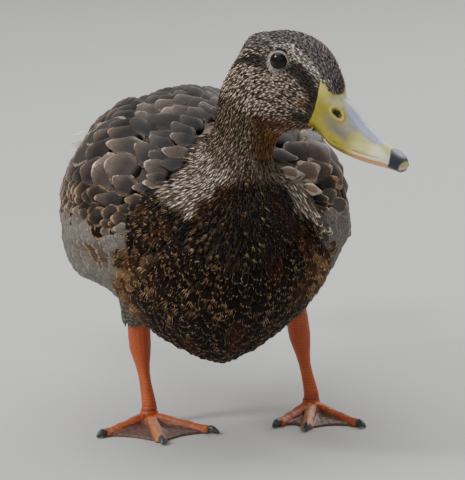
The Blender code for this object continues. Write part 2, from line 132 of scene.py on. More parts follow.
# %% Camera
CAMERA_PLACE = (-0.37677, -2.26786, 0.50263)
CAMERA_TILT = Euler((math.radians(80), 0.0, math.radians(-10)))
scene = bpy.context.scene
camera_data = bpy.data.cameras.new("camera")
camera_data.lens = 300
camera_data.sensor_width = 36
camera_data.clip_end = 50
camera = bpy.data.objects.new("camera", camera_data)
camera.location = CAMERA_PLACE
camera.rotation_euler = CAMERA_TILT
scene.collection.objects.link(camera)
scene.camera = camera

# %% Floor and light
def plain_material(name, colour, roughness):
    material = bpy.data.materials.new(name)
    material.use_nodes = True
    shader = material.node_tree.nodes["Principled BSDF"]
    shader.inputs["Base Color"].default_value = (*colour, 1.0)
    shader.inputs["Roughness"].default_value = roughness
    return material


def soft_lamp(name, place, target, size, power):
    data = bpy.data.lights.new(name, "AREA")
    data.shape = "DISK"
    data.size = size
    data.energy = power
    lamp = bpy.data.objects.new(name, data)
    lamp.location = place
    lamp.rotation_euler = (Vector(target) - Vector(place)).to_track_quat("-Z", "Y").to_euler()
    scene.collection.objects.link(lamp)


bpy.ops.mesh.primitive_plane_add(size=14)
floor = bpy.context.object
floor.name = "floor"
floor.data.materials.append(plain_material("pale floor", (0.53, 0.53, 0.52), 0.8))
soft_lamp("sky panel", (-0.5, 0.1, 2.2), (0, 0, 0.1), 2.4, 42)
soft_lamp("front panel", (-1.4, -2.2, 1.3), (0, 0, 0.12), 3.0, 12)
soft_lamp("rear panel", (1.3, 1.6, 1.5), (0, 0, 0.12), 1.6, 27)
soft_lamp("catch light", (-1.92, -0.5, 1.6), (0, -0.17, 0.22), 0.6, 28)
world = bpy.data.worlds.new("pale surroundings")
world.use_nodes = True
world.node_tree.nodes["Background"].inputs["Color"].default_value = (0.92, 0.92, 0.91, 1)
world.node_tree.nodes["Background"].inputs["Strength"].default_value = 0.38
scene.world = world

# %% [markdown]
# ## Small tools
# Almost everything below is numbers on points, so three helpers carry the work: one makes a mesh from
# arrays, one writes an attribute to its points, and one is the smooth step that blends two finishes.
# Colours are named as a painter would read them off a chart, from 0 to 255, and turned linear here.

# %% Helpers for meshes, attributes and colours
COLOUR_NAMES = ("paint", "dark", "pale")


def mesh_object(name, points, faces, smooth=True):
    mesh = bpy.data.meshes.new(name)
    mesh.from_pydata(np.asarray(points, float).tolist(), [], faces)
    if smooth:
        mesh.shade_smooth()
    made = bpy.data.objects.new(name, mesh)
    scene.collection.objects.link(made)
    return made


def read_vectors(items, field):
    flat = np.empty(len(items) * 3, np.float32)
    items.foreach_get(field, flat)
    return flat.reshape(-1, 3).astype(float)


def points_of(thing):
    return read_vectors(thing.data.vertices, "co")


def normals_of(thing):
    return read_vectors(thing.data.vertex_normals, "vector")


def move_points(thing, points):
    thing.data.vertices.foreach_set("co", np.asarray(points, np.float32).ravel())
    thing.data.update()


def push_out(thing, relief):
    """Moves each point along its normal, by its own number of millimetres."""
    move_points(thing, points_of(thing) + normals_of(thing) * (relief * MM)[:, None])


def mended(thing, gap=0.0, outward=False):
    """Joins points closer than the gap, and turns all faces outward if asked."""
    shell = bmesh.new()
    shell.from_mesh(thing.data)
    if gap:
        bmesh.ops.remove_doubles(shell, verts=shell.verts, dist=gap)
    if outward:
        bmesh.ops.recalc_face_normals(shell, faces=shell.faces)
    shell.to_mesh(thing.data)
    shell.free()
    return thing


def write_attribute(thing, name, values):
    """One value for each point: a number, a vector, or a colour if the name is that of a colour."""
    values = np.asarray(values)
    kind, field, number = "FLOAT", "value", np.float32
    if name in COLOUR_NAMES:
        kind, field = "FLOAT_COLOR", "color"
        values = np.concatenate((values, np.ones((len(values), 1))), axis=1)
    elif values.ndim == 2:
        kind, field = "FLOAT_VECTOR", "vector"
    elif values.dtype.kind == "i":
        kind, number = "INT", np.int32
    attribute = thing.data.attributes.new(name, kind, "POINT")
    attribute.data.foreach_set(field, np.ascontiguousarray(values, number).ravel())


def tint(red, green, blue):
    """A linear colour from one read off a 0 to 255 chart."""
    chart = np.array((red, green, blue)) / 255
    return np.where(chart <= 0.04045, chart / 12.92, ((chart + 0.055) / 1.055) ** 2.4)


def ramp(values, low, high):
    """0 at low and 1 at high, with a smooth bend at both."""
    share = np.clip((np.asarray(values, float) - low) / (high - low), 0, 1)
    return share * share * (3 - 2 * share)


def fade(values, low, high):
    """The other way round: 1 at low and 0 at high."""
    return 1 - ramp(values, low, high)


def mixed(first, second, share):
    return first + (second - first) * np.asarray(share)[..., None]


def ground(count, *colour):
    return np.tile(tint(*colour), (count, 1))


def layered(paint, *layers):
    """Thin coats over the paint of each point, each given as a chart colour and its share."""
    for colour, share in layers:
        paint = mixed(paint, tint(*colour), share)
    return paint


def blob(values, centre, width):
    return np.exp(-(((values - centre) / width) ** 2))


def oval(first, second, centre, size, power=2):
    """1 in the middle of an oval patch, fading to 0 outside it; a higher power gives a harder edge."""
    return np.exp(-((first - centre[0]) / size[0]) ** power - ((second - centre[1]) / size[1]) ** power)


def band(values, low, high, soft):
    """1 between low and high, fading over soft on each side."""
    return ramp(values, low - soft, low + soft) * fade(values, high - soft, high + soft)


def ruffle(points, size, seed=0):
    """A cheap smooth noise about -1 to 1: a few sine waves in random directions."""
    draw = np.random.default_rng(seed)
    total = np.zeros(len(points))
    for _ in range(7):
        direction = unit(draw.normal(size=3))
        total += np.sin(points @ direction / size * draw.uniform(4, 8) + draw.uniform(0, 6.3))
    return total / 3.2


# %% [markdown]
# ## The line of the body
# Feathers lie away from the bill: over the crown, down the neck, down the breast and back to the tail.
# We could paint that direction by hand, but one smooth line through the middle of the bird gives it
# everywhere: each point of the skin takes a blend of the line's directions near it. The same line gives
# the unwrap of the skin, as a distance along the line and an angle about it.

# %% The spine line
HEAD_KNOTS = ((30, -14), (14, -10), (-4, -11), (-15, -26), (-14, -45))  # ahead and above in mm
BODY_KNOTS = ((0.004, -0.148, 0.166), (0, -0.124, 0.138), (0, -0.085, 0.124), (0, -0.020, 0.121),
              (0, 0.060, 0.124), (0, 0.135, 0.131), (0, 0.215, 0.131))  # in metres
SPINE_SAMPLES = 121
CHUNK = 20000  # points worked on at once


def smooth_line(knots, samples):
    """Points on a Catmull-Rom curve through the knots."""
    rows = np.array(knots, float)
    rows = np.concatenate((2 * rows[:1] - rows[1:2], rows, 2 * rows[-1:] - rows[-2:-1]))
    line = []
    for place in np.linspace(0, len(knots) - 1, samples):
        index = min(int(place), len(knots) - 2)
        step = place - index
        a, b, c, d = rows[index:index + 4]
        line.append(0.5 * (2 * b + (c - a) * step + (2 * a - 5 * b + 4 * c - d) * step**2
                           + (3 * b - a - 3 * c + d) * step**3))
    return np.array(line)


spine_knots = [from_head(*knot) for knot in HEAD_KNOTS] + [(BODY_X + x, y, z) for x, y, z in BODY_KNOTS]
spine = smooth_line(spine_knots, SPINE_SAMPLES)
spine_lie = unit(np.gradient(spine, axis=0))
spine_run = np.concatenate(([0], np.cumsum(lengths(np.diff(spine, axis=0))))) / MM


def along_spine(points):
    """For each point: the distance along the line in mm, the line's direction, and its place there."""
    points = np.asarray(points)
    run = np.empty(len(points))
    lie = np.empty((len(points), 3))
    place = np.empty((len(points), 3))
    for start in range(0, len(points), CHUNK):
        part = points[start:start + CHUNK]
        gap = np.linalg.norm(part[:, None] - spine[None], axis=2)
        softness = 0.004 + 0.16 * gap.min(axis=1, keepdims=True)
        weight = np.exp(-((gap - gap.min(axis=1, keepdims=True)) / softness) ** 2)
        weight /= weight.sum(axis=1, keepdims=True)
        for result, values in ((run, spine_run), (lie, spine_lie), (place, spine)):
            result[start:start + CHUNK] = weight @ values
    return run, unit(lie), place


print("the line is", round(spine_run[-1]), "mm long")

# %% [markdown]
# ## The skin
# A bird's skin is one smooth bag, so we join copies of the frame's flesh solids and let a voxel remesh
# melt them into one closed surface. It is then smoothed, and drawn inwards by the depth of the coat, a
# few millimetres on the body and about one on the face. The eyeballs join in to fill the sockets, and
# sink back inside when the skin is drawn in.

# %% One closed skin
FLESH = ("trunk", "neck", "head", "thigh_left", "thigh_right", "tail", "wing_left", "wing_right",
         "primaries_left", "primaries_right")
SKIN_VOXEL = 2.0 * MM
RING_REACH = 0.4 * MM  # points this near an end belong to its ring
TRUNK_Z = 0.120  # height of the line that angles are measured about


def joined_copy(name, things):
    points, faces = [], []
    for thing in things:
        mesh = thing.data
        start = len(points)
        points += [tuple(vertex.co) for vertex in mesh.vertices]
        faces += [[start + index for index in face.vertices] for face in mesh.polygons]
    return mended(mesh_object(name, points, faces), gap=1e-6)


def settled(thing):
    """Turns an object with modifiers into a plain mesh."""
    graph = bpy.context.evaluated_depsgraph_get()
    mesh = bpy.data.meshes.new_from_object(thing.evaluated_get(graph), depsgraph=graph)
    thing.modifiers.clear()
    thing.data = mesh
    mesh.shade_smooth()
    return thing


def melted(thing, voxel, smoothing):
    """One closed surface round all the solids of a mesh."""
    remesh = thing.modifiers.new("melt", "REMESH")
    remesh.mode = "VOXEL"
    remesh.voxel_size = voxel
    smooth = thing.modifiers.new("smooth", "SMOOTH")
    smooth.factor = 0.5
    smooth.iterations = smoothing
    return settled(thing)


def shank_end(side, top):
    """The middle of the shank's top or lowest ring."""
    points = points_of(nodes["shank_" + side])
    height = points[:, 2]
    if top:
        return points[height > height.max() - RING_REACH].mean(axis=0)
    return points[height < height.min() + RING_REACH].mean(axis=0)


ankles = {side: shank_end(side, top=True) for side in SIDES}
foot_joints = {side: shank_end(side, top=False) for side in SIDES}


def ankle_distance(side, points):
    """Millimetres from the ankle as seen from above."""
    return lengths((points - ankles[side])[:, :2]) / MM


def body_angle(points):
    """Degrees about the trunk from the middle of the back, the same on both sides."""
    return np.degrees(np.arctan2(np.abs(points[:, 0] - BODY_X), points[:, 2] - TRUNK_Z))


def bare_reach(head_places):
    """How far ahead of the feather line a point of the bill lies, in mm."""
    ahead, above, left = head_places.T
    side = np.interp(above, (-31, -25, -19, -12, -7, -3), (22.6, 24.8, 25.8, 25.3, 24.5, 23.6))
    aside = np.where(left > 0, 1.7 * left, -left)
    top = np.interp(aside, (0, 2.5, 4.5, 7, 8.2, 9.0, 9.5, 9.8, 11.6),
                    (33.8, 33.7, 33.3, 32.2, 30.8, 28.6, 26.0, 24.0, 23.2))
    return ahead - np.where(above > -14, np.maximum(side, top), side)


def coat_depth(points):
    """How far the skin lies inside the outer shape in mm: thin on the face, thicker on the body."""
    run, _, _ = along_spine(points)
    depth = 1.1 + 1.9 * ramp(run, 66, 112) - 1.6 * ramp(run, 380, 420)
    depth = depth + 2.2 * ramp(bare_reach(to_head(points)), -0.6, 1.2) * fade(run, 30, 45)
    height = points[:, 2] / MM
    for side in SIDES:
        near_leg = fade(ankle_distance(side, points), 12, 20)
        depth = depth - 2.4 * near_leg * fade(height, 62, 78)
        depth = depth + 5.4 * near_leg * fade(height, 56, 62)
    return depth


def fullness(points):
    """How far the plumage stands out beyond the frame's even shape, in mm."""
    angle = body_angle(points)
    along_y = points[:, 1] / MM
    on_right = points[:, 0] < BODY_X
    shoulder = np.interp(angle, (30, 42, 52, 66, 76, 88), (0, 2.5, 6, 5, 2, 0))
    shoulder = shoulder * band(along_y, -112, -48, 22)
    flank = np.interp(angle, (84, 92, 99, 106, 111, 116, 121), (0, 3.5, 8, 9.5, 7, 2.5, 0))
    flank = flank * band(along_y, -98, 12, 18)
    hollow = np.interp(angle, (48, 57, 66, 73, 82), (0, 3, 5, 4, 0)) * band(along_y, -12, 70, 24)
    ahead, above, left = to_head(points).T
    nape_bulge = oval(ahead, above, (-24.5, -0.5), (6.5, 7))
    crown = (0.9 * ramp(above, -14, 2) + 2.6 * nape_bulge) * fade(np.abs(left), 8, 14)
    flank = np.where(on_right, flank, 0.3 * flank * ramp(along_y, -60, -30))
    return crown + shoulder + flank - np.where(on_right, hollow, 0.6 * hollow)


solids = [nodes[name] for name in FLESH + ("eye_left", "eye_right")]
skin = melted(joined_copy("skin", solids), SKIN_VOXEL, 10)
outer_points = points_of(skin)
push_out(skin, fullness(outer_points) - coat_depth(outer_points))
skin_points = points_of(skin)
write_attribute(skin, "skin_up", normals_of(skin))
print("skin:", len(skin.data.polygons), "faces")

# %% [markdown]
# ## The plumage's markings
# One function says what colours the plumage has at any point, and both the skin and every feather ask
# it, so the two always agree. It works in the bird's own directions: bands on the face in the head's
# frame, and on the body borders between breast, back and flank given by the angle about the trunk.
# Each feather has a dark heart and a pale fringe, so the function returns both.

# %% Colour chart
# For each region the colour of a feather's heart, and then that of its fringe.
CHART_ROWS = {
    "crown": (66, 60, 62, 172, 156, 156), "eye line": (44, 39, 38, 84, 74, 70),
    "brow": (120, 110, 102, 250, 242, 232), "behind eye": (70, 60, 54, 190, 170, 150),
    "cheek": (66, 54, 44, 226, 206, 184), "throat": (104, 64, 30, 190, 134, 72),
    "jaw": (96, 56, 32, 158, 104, 64), "rust": (96, 64, 46, 208, 166, 134),
    # On the next row, the second and paler neck colour is painted light, for the side of the neck towards the
    # lamps.
    "neck": (66, 55, 40, 172, 150, 118), "lit neck": (74, 64, 52, 186, 168, 142),
    "neck foot": (112, 92, 76, 255, 242, 226), "maroon": (44, 26, 20, 118, 84, 64),
    "breast": (22, 13, 8, 196, 162, 122), "chestnut": (52, 27, 16, 164, 112, 70),
    "breast side": (74, 46, 26, 190, 150, 108), "mantle": (25, 21, 21, 130, 118, 108),
    # On the next row, the paler back colour is painted sheen, for patches of reflected light on the back.
    "scapular": (14, 10, 8, 158, 137, 120), "back sheen": (96, 82, 73, 212, 192, 174),
    "lesser": (26, 17, 13, 180, 144, 110), "flank": (122, 116, 108, 150, 143, 134),
    "belly": (128, 112, 94, 206, 196, 180), "rump": (42, 38, 36, 112, 98, 84),
    "vent": (70, 58, 48, 196, 180, 156), "thigh": (84, 84, 76, 128, 124, 112),
    "drab": (44, 36, 31, 172, 152, 132), "brown": (60, 47, 38, 168, 138, 110),
    "quill": (50, 44, 40, 108, 96, 84), "blue": (34, 44, 92, 222, 220, 214),
    "tertial": (92, 82, 74, 172, 158, 142),
}
CHART = {name: (tint(*row[:3]), tint(*row[3:])) for name, row in CHART_ROWS.items()}

# Where the breast's plumage ends, as a distance along Y in mm for each angle from the back's middle.
BREAST_EDGE = (
    (0, 12, 22, 34, 45, 54, 60, 69, 78, 85, 89, 96, 105, 114, 125, 133, 145, 160, 180),
    (-110, -124, -136, -141, -142, -142, -144, -146, -148, -147, -144, -140, -135, -125, -114, -106, -86, -64,
     -54))
# Where the pale streaks below the neck end: a height in mm for each place across the breast in mm.
STREAKS_END = ((-46, -36, -29, -24, -19, -15, -11, -6, 10, 19, 24, 27, 32, 37, 41, 50),
               (151, 145, 142, 144, 149, 154, 158, 161, 161, 159, 155, 148, 142, 137, 133, 128))
# Patches of painted sheen on the back, paler where light is reflected: X, Y, Z and radius in mm.
SHEEN_PLACES = ((50, -118, 160, 26), (62, -96, 150, 18), (-58, -120, 161, 12), (-24, -94, 184, 12),
              (-72, -84, 165, 10))
FLANK_SPOT = (-69, -129, 114)
FLANK_SPOT_RADIUS = 9
WING_EDGE_ANGLE = 81  # degrees from the back's middle, where the wing passes under the flank
# Along the head in mm: the crown's lower edge, the brow's middle and width, the eye line's middle and width.
CROWN_EDGE = ((-36, -24, -13, -4, 3, 8, 13, 18.6, 24, 30, 34),
              (-6, -2, 2.5, 7.2, 9.2, 8, 6.4, 3.4, -0.6, -4.5, -7.5))
BROW_MIDDLE = ((-6, 3, 8.6, 13.4, 18.8, 22.6, 25), (6.2, 7.2, 5.6, 4.1, 1.4, -1.8, -3.8))
BROW_WIDTH = ((-8, -3, 3, 8, 14, 19, 23, 26), (0.3, 0.8, 1.6, 2.1, 2.0, 1.7, 1.3, 0.8))
LINE_AHEAD = (-34, -24, -18, -13, -8, -2, 3, 8, 14, 20, 24, 26)
LINE_MIDDLE = (-14, -9.2, -6.3, -4.6, -4.8, -6.2, -4, -0.8, -3.3, -7.2, -12, -16)
LINE_WIDTH = (0.4, 1.4, 2.4, 3.0, 3.4, 2.2, 2.4, 3.4, 3.5, 4.4, 4.4, 3)
FAR = 99.0  # mm, the distance given to points on the wrong side


def face_fields(points):
    """Weights of the face's markings, from 0 to 1."""
    ahead, above, left = to_head(points).T
    wobble = ruffle(points, 0.005, 3)
    aside = np.abs(left)
    crown = ramp(above - np.interp(ahead, *CROWN_EDGE) + 0.8 * wobble, -1.0, 1.0)
    brow_width = np.interp(ahead, *BROW_WIDTH)
    off_brow = np.abs(above - np.interp(ahead, *BROW_MIDDLE) + 0.6 * wobble)
    brow = fade(off_brow, brow_width - 0.7, brow_width + 0.9)
    behind_middle = np.interp(ahead, (-26, -8, 0), (-3, 1.0, 4))
    behind = band(above - behind_middle, -1.8, 2.8, 1.2) * fade(ahead, -8, -3)
    line_width = np.interp(ahead, LINE_AHEAD, LINE_WIDTH)
    off_line = np.abs(above - np.interp(ahead, LINE_AHEAD, LINE_MIDDLE) + 0.5 * wobble)
    line = fade(off_line, line_width - 0.8, line_width + 1.2)
    bill_side = band(ahead + 0.06 * (above + 15), 21.6, 30, 0.9) * band(above, -24, -12, 3)
    gape = oval(ahead, above, (20, -26.5), (4.6, 2.9))
    line = np.maximum(line, np.maximum(0.9 * bill_side, np.clip(gape * 1.5, 0, 1))) * ramp(aside, 5, 9)
    crown = np.maximum(crown, ramp(ahead, 22, 24.5) * fade(aside, 7.4, 9.0) * ramp(above, -18, -14))
    throat = band(-above, 38, 56, 2) * band(ahead, -4, 30, 6)
    jaw_middle = np.interp(ahead, (-8, 4, 12, 24), (-34.6, -34.6, -33.2, -30.5))
    jaw = np.exp(-((above - jaw_middle) / 3.4) ** 2) * band(ahead, -7, 24, 5) * (1 - 0.5 * ramp(ahead, 8, 18))
    rust = oval(ahead, above, (19, -18.5), (4.5, 3.5)) * ramp(wobble, -0.6, 0.6)
    from_eye = np.array((ahead - EYE_SPOT[0], above - EYE_SPOT[1]))
    rear_below = -from_eye.sum(axis=0) / (1.41 * np.linalg.norm(from_eye, axis=0) + 1e-6)
    ring = blob(eye_distance(points), 5.8, 1.0) * (0.3 + 0.7 * ramp(rear_below, -0.3, 0.6))
    return crown, brow * ramp(aside, 4, 8), behind, line, throat, jaw, rust, ring


def eye_distance(points):
    """Millimetres from the nearer eye's axis, for points on the outer side of the head."""
    nearest = np.full(len(points), FAR)
    for side in SIDES:
        away = points - eye_centres[side]
        look = eye_directions(side)[0]
        off_axis = lengths(away - np.outer(away @ look, look)) / MM
        nearest = np.minimum(nearest, np.where(away @ look > 0, off_axis, FAR))
    return nearest


def eye_directions(side):
    """The way the eye looks, and two directions across it: along the head and up."""
    sign = 1 if side == "left" else -1
    look = unit(HEAD_LEFT * sign + 0.22 * HEAD_AHEAD + 0.04 * HEAD_ABOVE)
    along = unit(HEAD_AHEAD - look * (HEAD_AHEAD @ look))
    return look, along, np.cross(look, along) * sign


def body_fields(points):
    """Run down the neck, angle about the trunk, mm ahead of the breast's edge, and mm from the spine."""
    run, _, place = along_spine(points)
    along_x, along_y, _ = points.T / MM
    run = run + 10 * ramp(along_x, 5, 45) * ramp(run, 70, 90) * fade(run, 120, 160)
    angle = body_angle(points)
    ahead_of_edge = np.interp(angle, *BREAST_EDGE) - along_y
    ahead_of_edge = ahead_of_edge - 6 * ramp(along_x, 24, 44) * ramp(angle, 76, 90)
    off_spine = lengths(points - place) / MM
    return run, angle, ahead_of_edge, off_spine


def wing_angle(points, angle):
    """The angle about the trunk, larger at the left shoulder, where the flank laps higher over the wing."""
    along_x, along_y, _ = points.T / MM
    return angle + 11 * ramp(along_x, 20, 40) * fade(along_y, -112, -84)


def plumage(points):
    """Dark heart, pale fringe, (fringe width, strands, bars), and how much whole feathers differ."""
    points = np.asarray(points)
    run, angle, ahead_of_edge, off_spine = body_fields(points)
    along_x, along_y, height = points.T / MM
    patchy = ruffle(points, 0.02, 5)
    wobble = ruffle(points, 0.012, 9)
    count = len(points)
    dark, pale, marks = (np.tile(start, (count, 1)) for start in (*CHART["cheek"], (0.3, 0.0, 0.0)))
    fleck = np.full(count, 0.95)

    def lay(name, weight, mark=None, differ=None):
        nonlocal dark, pale, marks, fleck
        dark = mixed(dark, CHART[name][0], weight)
        pale = mixed(pale, CHART[name][1], weight)
        if mark is not None:
            marks = mixed(marks, np.array(mark), weight)
        if differ is not None:
            fleck = fleck + (differ - fleck) * weight

    crown, brow, behind_eye, line, throat, jaw, rust, ring = face_fields(points)
    lay("rust", np.clip(rust * 1.2, 0, 1))
    lay("behind eye", 0.8 * behind_eye)
    lay("crown", crown, (0.3, 0, 0), 0.6)
    lay("eye line", 0.94 * line, (0.2, 0, 0), 0.35)
    lay("brow", brow, (0.4, 0, 0), 1.0)
    lay("brow", 0.85 * ring * (1 - 0.3 * crown), (0.8, 0, 0), 0.05)
    left = to_head(points)[:, 2]
    # Painted light: the neck is laid paler on the bird's right side, which faces the lamps.
    side_light = ramp(-left, -4, 10)
    uneven_run = run + 4 * wobble
    on_neck = ramp(uneven_run, 54, 66)
    lay("neck", on_neck, (0.3, 0, 0), 0.75)
    lay("lit neck", on_neck * side_light * 0.7, (0.34, 0, 0), 0.85)
    lay("jaw", 0.95 * jaw, (0.2, 0, 0), 0.3)
    lay("throat", 0.8 * throat * fade(np.abs(left + 4), 6, 16), (0.3, 0, 0), 0.5)
    lay("neck foot", ramp(uneven_run, 86, 97), (0.44, 0.3, 0), 1.0)
    lay("maroon", band(along_x, -6, 19, 5) * ramp(uneven_run, 88, 97), (0.2, 0.8, 0), 0.5)
    fleck = fleck * fade(run, 106, 116)
    on_breast = ramp(ahead_of_edge - 4 * wobble, -8, -3)
    below_streaks = np.interp(along_x, *STREAKS_END) - height
    on_body = ramp(below_streaks + 3 * wobble, -2, 3) * ramp(run, 84, 92)
    right_side = ramp(-along_x, 25, 35) * ramp(run, 92, 100) * ramp(angle + 3 * wobble, 50, 58)
    on_body = np.maximum(on_body, right_side) * on_breast
    lay("breast", on_body, (0.16, 1.0, 0.0), 0.0)
    lay("chestnut", on_body * 0.8 * ramp(patchy, 0.2, 0.9))
    side = on_body * fade(ahead_of_edge + 6 * wobble, 6, 26) * ramp(angle, 84, 98)
    lay("breast side", 0.9 * side, (0.36, 0.9, 0), 0.3)
    behind = ramp(4 * wobble - ahead_of_edge, -2, 3) * ramp(off_spine, 17, 22.5)
    lay("mantle", behind, (0.06, 0, 0), 0.0)
    lay("scapular", behind * ramp(angle, 22, 40), (0.08, 0, 0))
    # Painted sheen: paler patches on the back where light is reflected.
    for *place, radius in SHEEN_PLACES:
        away = lengths(points / MM - place)
        lay("back sheen", 0.7 * behind * np.exp(-(away / radius) ** 2), (0.2, 0, 0))
    on_wing = wing_angle(points, angle)
    lay("lesser", behind * ramp(on_wing + 4 * wobble, 62, 72), (0.24, 0.4, 0), 0.15)
    under_wing = ramp(on_wing + 3 * wobble, WING_EDGE_ANGLE - 2, WING_EDGE_ANGLE + 3)
    lay("flank", behind * under_wing, (0.2, 0, 1), 0.0)
    off_spot = lengths(points / MM - FLANK_SPOT) / FLANK_SPOT_RADIUS
    lay("breast side", 0.8 * np.exp(-(off_spot**4)), (0.36, 0.9, 0))
    lay("belly", behind * ramp(angle + 5 * wobble, 132, 150), (0.4, 0, 0.4))
    lay("rump", ramp(along_y + 4 * wobble, 92, 112) * fade(angle, 66, 84), (0.16, 0, 0))
    lay("vent", ramp(along_y + 6 * patchy, 78, 112) * ramp(angle, 70, 92), (0.3, 0, 0), 0.0)
    return dark, pale, marks, fleck


skin_dark, skin_pale, _, _ = plumage(skin_points)
# Painted shade: the skin takes little of the pale colour, so that gaps between the feathers look like shadow.
pale_share = 0.22 - 0.16 * ramp(along_spine(skin_points)[0], 90, 110)
write_attribute(skin, "paint", mixed(skin_dark, skin_pale, pale_share))
print("markings laid on", len(skin_points), "points of skin")

# %% [markdown]
# ## A short way to wire materials
# The finishes share a few moves: read an attribute, do arithmetic, add fine noise, press it into the
# surface as bump. A small class wraps the node tree, so that each finish reads as a short recipe. All
# patterns sit on Object coordinates or on attributes of the mesh, never on where the camera stands.

# %% The wiring class
def add_node(tree, kind, inputs=None, **settings):
    """A new node; each input is given a value, or wired when the value is a socket."""
    node = tree.nodes.new(kind)
    for key, value in settings.items():
        setattr(node, key, value)
    for key, value in (inputs or {}).items():
        give(tree, node.inputs[key], value)
    return node


def give(tree, socket, value):
    if isinstance(value, bpy.types.NodeSocket):
        tree.links.new(value, socket)
    elif value is not None:
        socket.default_value = value


class Finish:
    """A Principled material whose nodes are added by short calls."""

    def __init__(self, name, roughness=0.6, specular=0.5):
        self.material = bpy.data.materials.new(name)
        self.material.use_nodes = True
        self.tree = self.material.node_tree
        self.shader = self.tree.nodes["Principled BSDF"]
        self.shader.inputs["Roughness"].default_value = roughness
        self.shader.inputs["Specular IOR Level"].default_value = specular

    def add(self, kind, inputs=None, **settings):
        return add_node(self.tree, kind, inputs, **settings)

    def math(self, operation, *values):
        return self.add("ShaderNodeMath", dict(enumerate(values)), operation=operation).outputs[0]

    def plus(self, factor, other, added):
        """Factor times other, and then added."""
        return self.math("MULTIPLY_ADD", factor, other, added)

    def times(self, first, second):
        return self.math("MULTIPLY", first, second)

    def less(self, first, second):
        return self.math("SUBTRACT", first, second)

    def read(self, name, output="Fac"):
        return self.add("ShaderNodeAttribute", attribute_name=name).outputs[output]

    def parts(self, name):
        return self.add("ShaderNodeSeparateXYZ", {0: self.read(name, "Vector")}).outputs

    def step(self, value, low, high):
        node = self.add("ShaderNodeMapRange", {"Value": value, "From Min": low, "From Max": high},
                        interpolation_type="SMOOTHSTEP")
        return node.outputs["Result"]

    def noise(self, scale, detail=3.0, vector=None):
        vector = vector or self.add("ShaderNodeTexCoord").outputs["Object"]
        node = self.add("ShaderNodeTexNoise", {"Vector": vector, "Scale": scale, "Detail": detail})
        return node.outputs["Fac"]

    def cells(self, scale):
        vector = self.add("ShaderNodeTexCoord").outputs["Object"]
        node = self.add("ShaderNodeTexVoronoi", {"Vector": vector, "Scale": scale},
                        feature="DISTANCE_TO_EDGE")
        return node.outputs["Distance"]

    def blend(self, share, first, second, mode="MIX"):
        node = self.add("ShaderNodeMix", data_type="RGBA", blend_type=mode)
        sockets = [socket for socket in node.inputs if socket.enabled]
        for socket, value in zip(sockets, (share, first, second)):
            give(self.tree, socket, value)
        return [socket for socket in node.outputs if socket.enabled][0]

    def shade(self, colour, amount):
        """A colour made lighter or darker by a factor."""
        grey = self.add("ShaderNodeCombineXYZ", {0: amount, 1: amount, 2: amount}).outputs[0]
        return self.blend(1.0, colour, grey, "MULTIPLY")

    def colour(self, colour):
        self.tree.links.new(colour, self.shader.inputs["Base Color"])

    def bump(self, height, strength, distance):
        node = self.add("ShaderNodeBump", {"Height": height, "Strength": strength, "Distance": distance})
        self.tree.links.new(node.outputs["Normal"], self.shader.inputs["Normal"])


def dress(thing, finish, paint=None):
    if paint is not None:
        write_attribute(thing, "paint", paint)
    thing.data.materials.clear()
    thing.data.materials.append(finish.material)


def painted_finish(name, roughness, grain, strength, spread=0.25):
    """A finish that takes its colour from the piece's paint attribute, with fine mottling."""
    made = Finish(name, roughness)
    mottle = made.step(made.noise(grain, 4.0), 0.3, 0.7)
    factor = made.plus(mottle, spread * 2, 1 - spread)
    made.colour(made.shade(made.read("paint", "Color"), factor))
    made.bump(mottle, strength, 0.3 * MM)
    return made


dress(skin, painted_finish("down under the coat", 0.95, 900, 0.4))

# %% [markdown]
# ## The bill
# A mallard's bill is horn under thin skin: tall and narrow at the base, flat and broad at the tip,
# with a lobe running back each side of the forehead, a nostril, a hard nail, and a lip along the edge.
# It is a shape between unlike sections, so it is a loft: one row of numbers for each station, and a
# superellipse ring for each row. A fine grid then carries the small relief as moved points. Behind the
# feather line the bill dives under the skin, so that the feathers can close over it.

# %% Loft helper
def turns(count):
    """Even angles round a full circle."""
    return np.linspace(0, 2 * math.pi, count + 1)[:-1]


def lofted(name, rings, caps=True, gap=0.0):
    """A skin over rings of equal count; both ends are closed by a fan round their middle."""
    rings = np.asarray(rings, float)
    levels, count = rings.shape[:2]
    points = rings.reshape(-1, 3).tolist()
    faces = []
    for start in range(0, (levels - 1) * count, count):
        for i in range(start, start + count):
            j = start + (i + 1 - start) % count
            faces.append((i, j, j + count, i + count))
    if caps:
        for level, turn in ((0, 1), (levels - 1, -1)):
            points.append(rings[level].mean(axis=0).tolist())
            for i in range(count):
                edge = (level * count + (i + 1) % count, level * count + i)[::turn]
                faces.append((*edge, len(points) - 1))
    made = mended(mesh_object(name, points, faces), gap, outward=True)
    made.data.shade_smooth()
    return made


# Culmen (ahead, above), cutting edge (ahead, above), half width; the first two rows lie in the head.
BILL_ROWS = np.array((
    (17.0, 9.0, 23.0, -29.4, 13.6), (24.0, 4.6, 25.8, -29.2, 12.6), (30.0, -1.2, 28.4, -29.4, 11.7),
    (34.0, -9.0, 33.0, -31.4, 11.5), (41.0, -12.8, 40.0, -33.3, 10.7), (51.0, -18.2, 51.0, -33.8, 10.2),
    (62.0, -22.3, 62.0, -32.8, 10.3), (71.0, -24.8, 71.0, -31.4, 10.3), (77.5, -27.0, 77.3, -31.6, 8.2),
    (80.6, -29.6, 80.4, -32.8, 4.6), (81.0, -31.4, 80.9, -32.6, 1.2)))
LOWER_DEPTH = (0.6, 0.8, 1.0, 2.0, 2.6, 2.9, 3.3, 3.4, 2.4, 1.4, 0.6)
LOWER_WIDTH = (0.3, 0.3, 0.36, 0.66, 0.88, 0.9, 0.9, 0.9, 0.9, 0.9, 0.9)  # share of the upper bill's
BILL_SINK = 3.4  # mm by which the bill dives under the skin behind the feather line


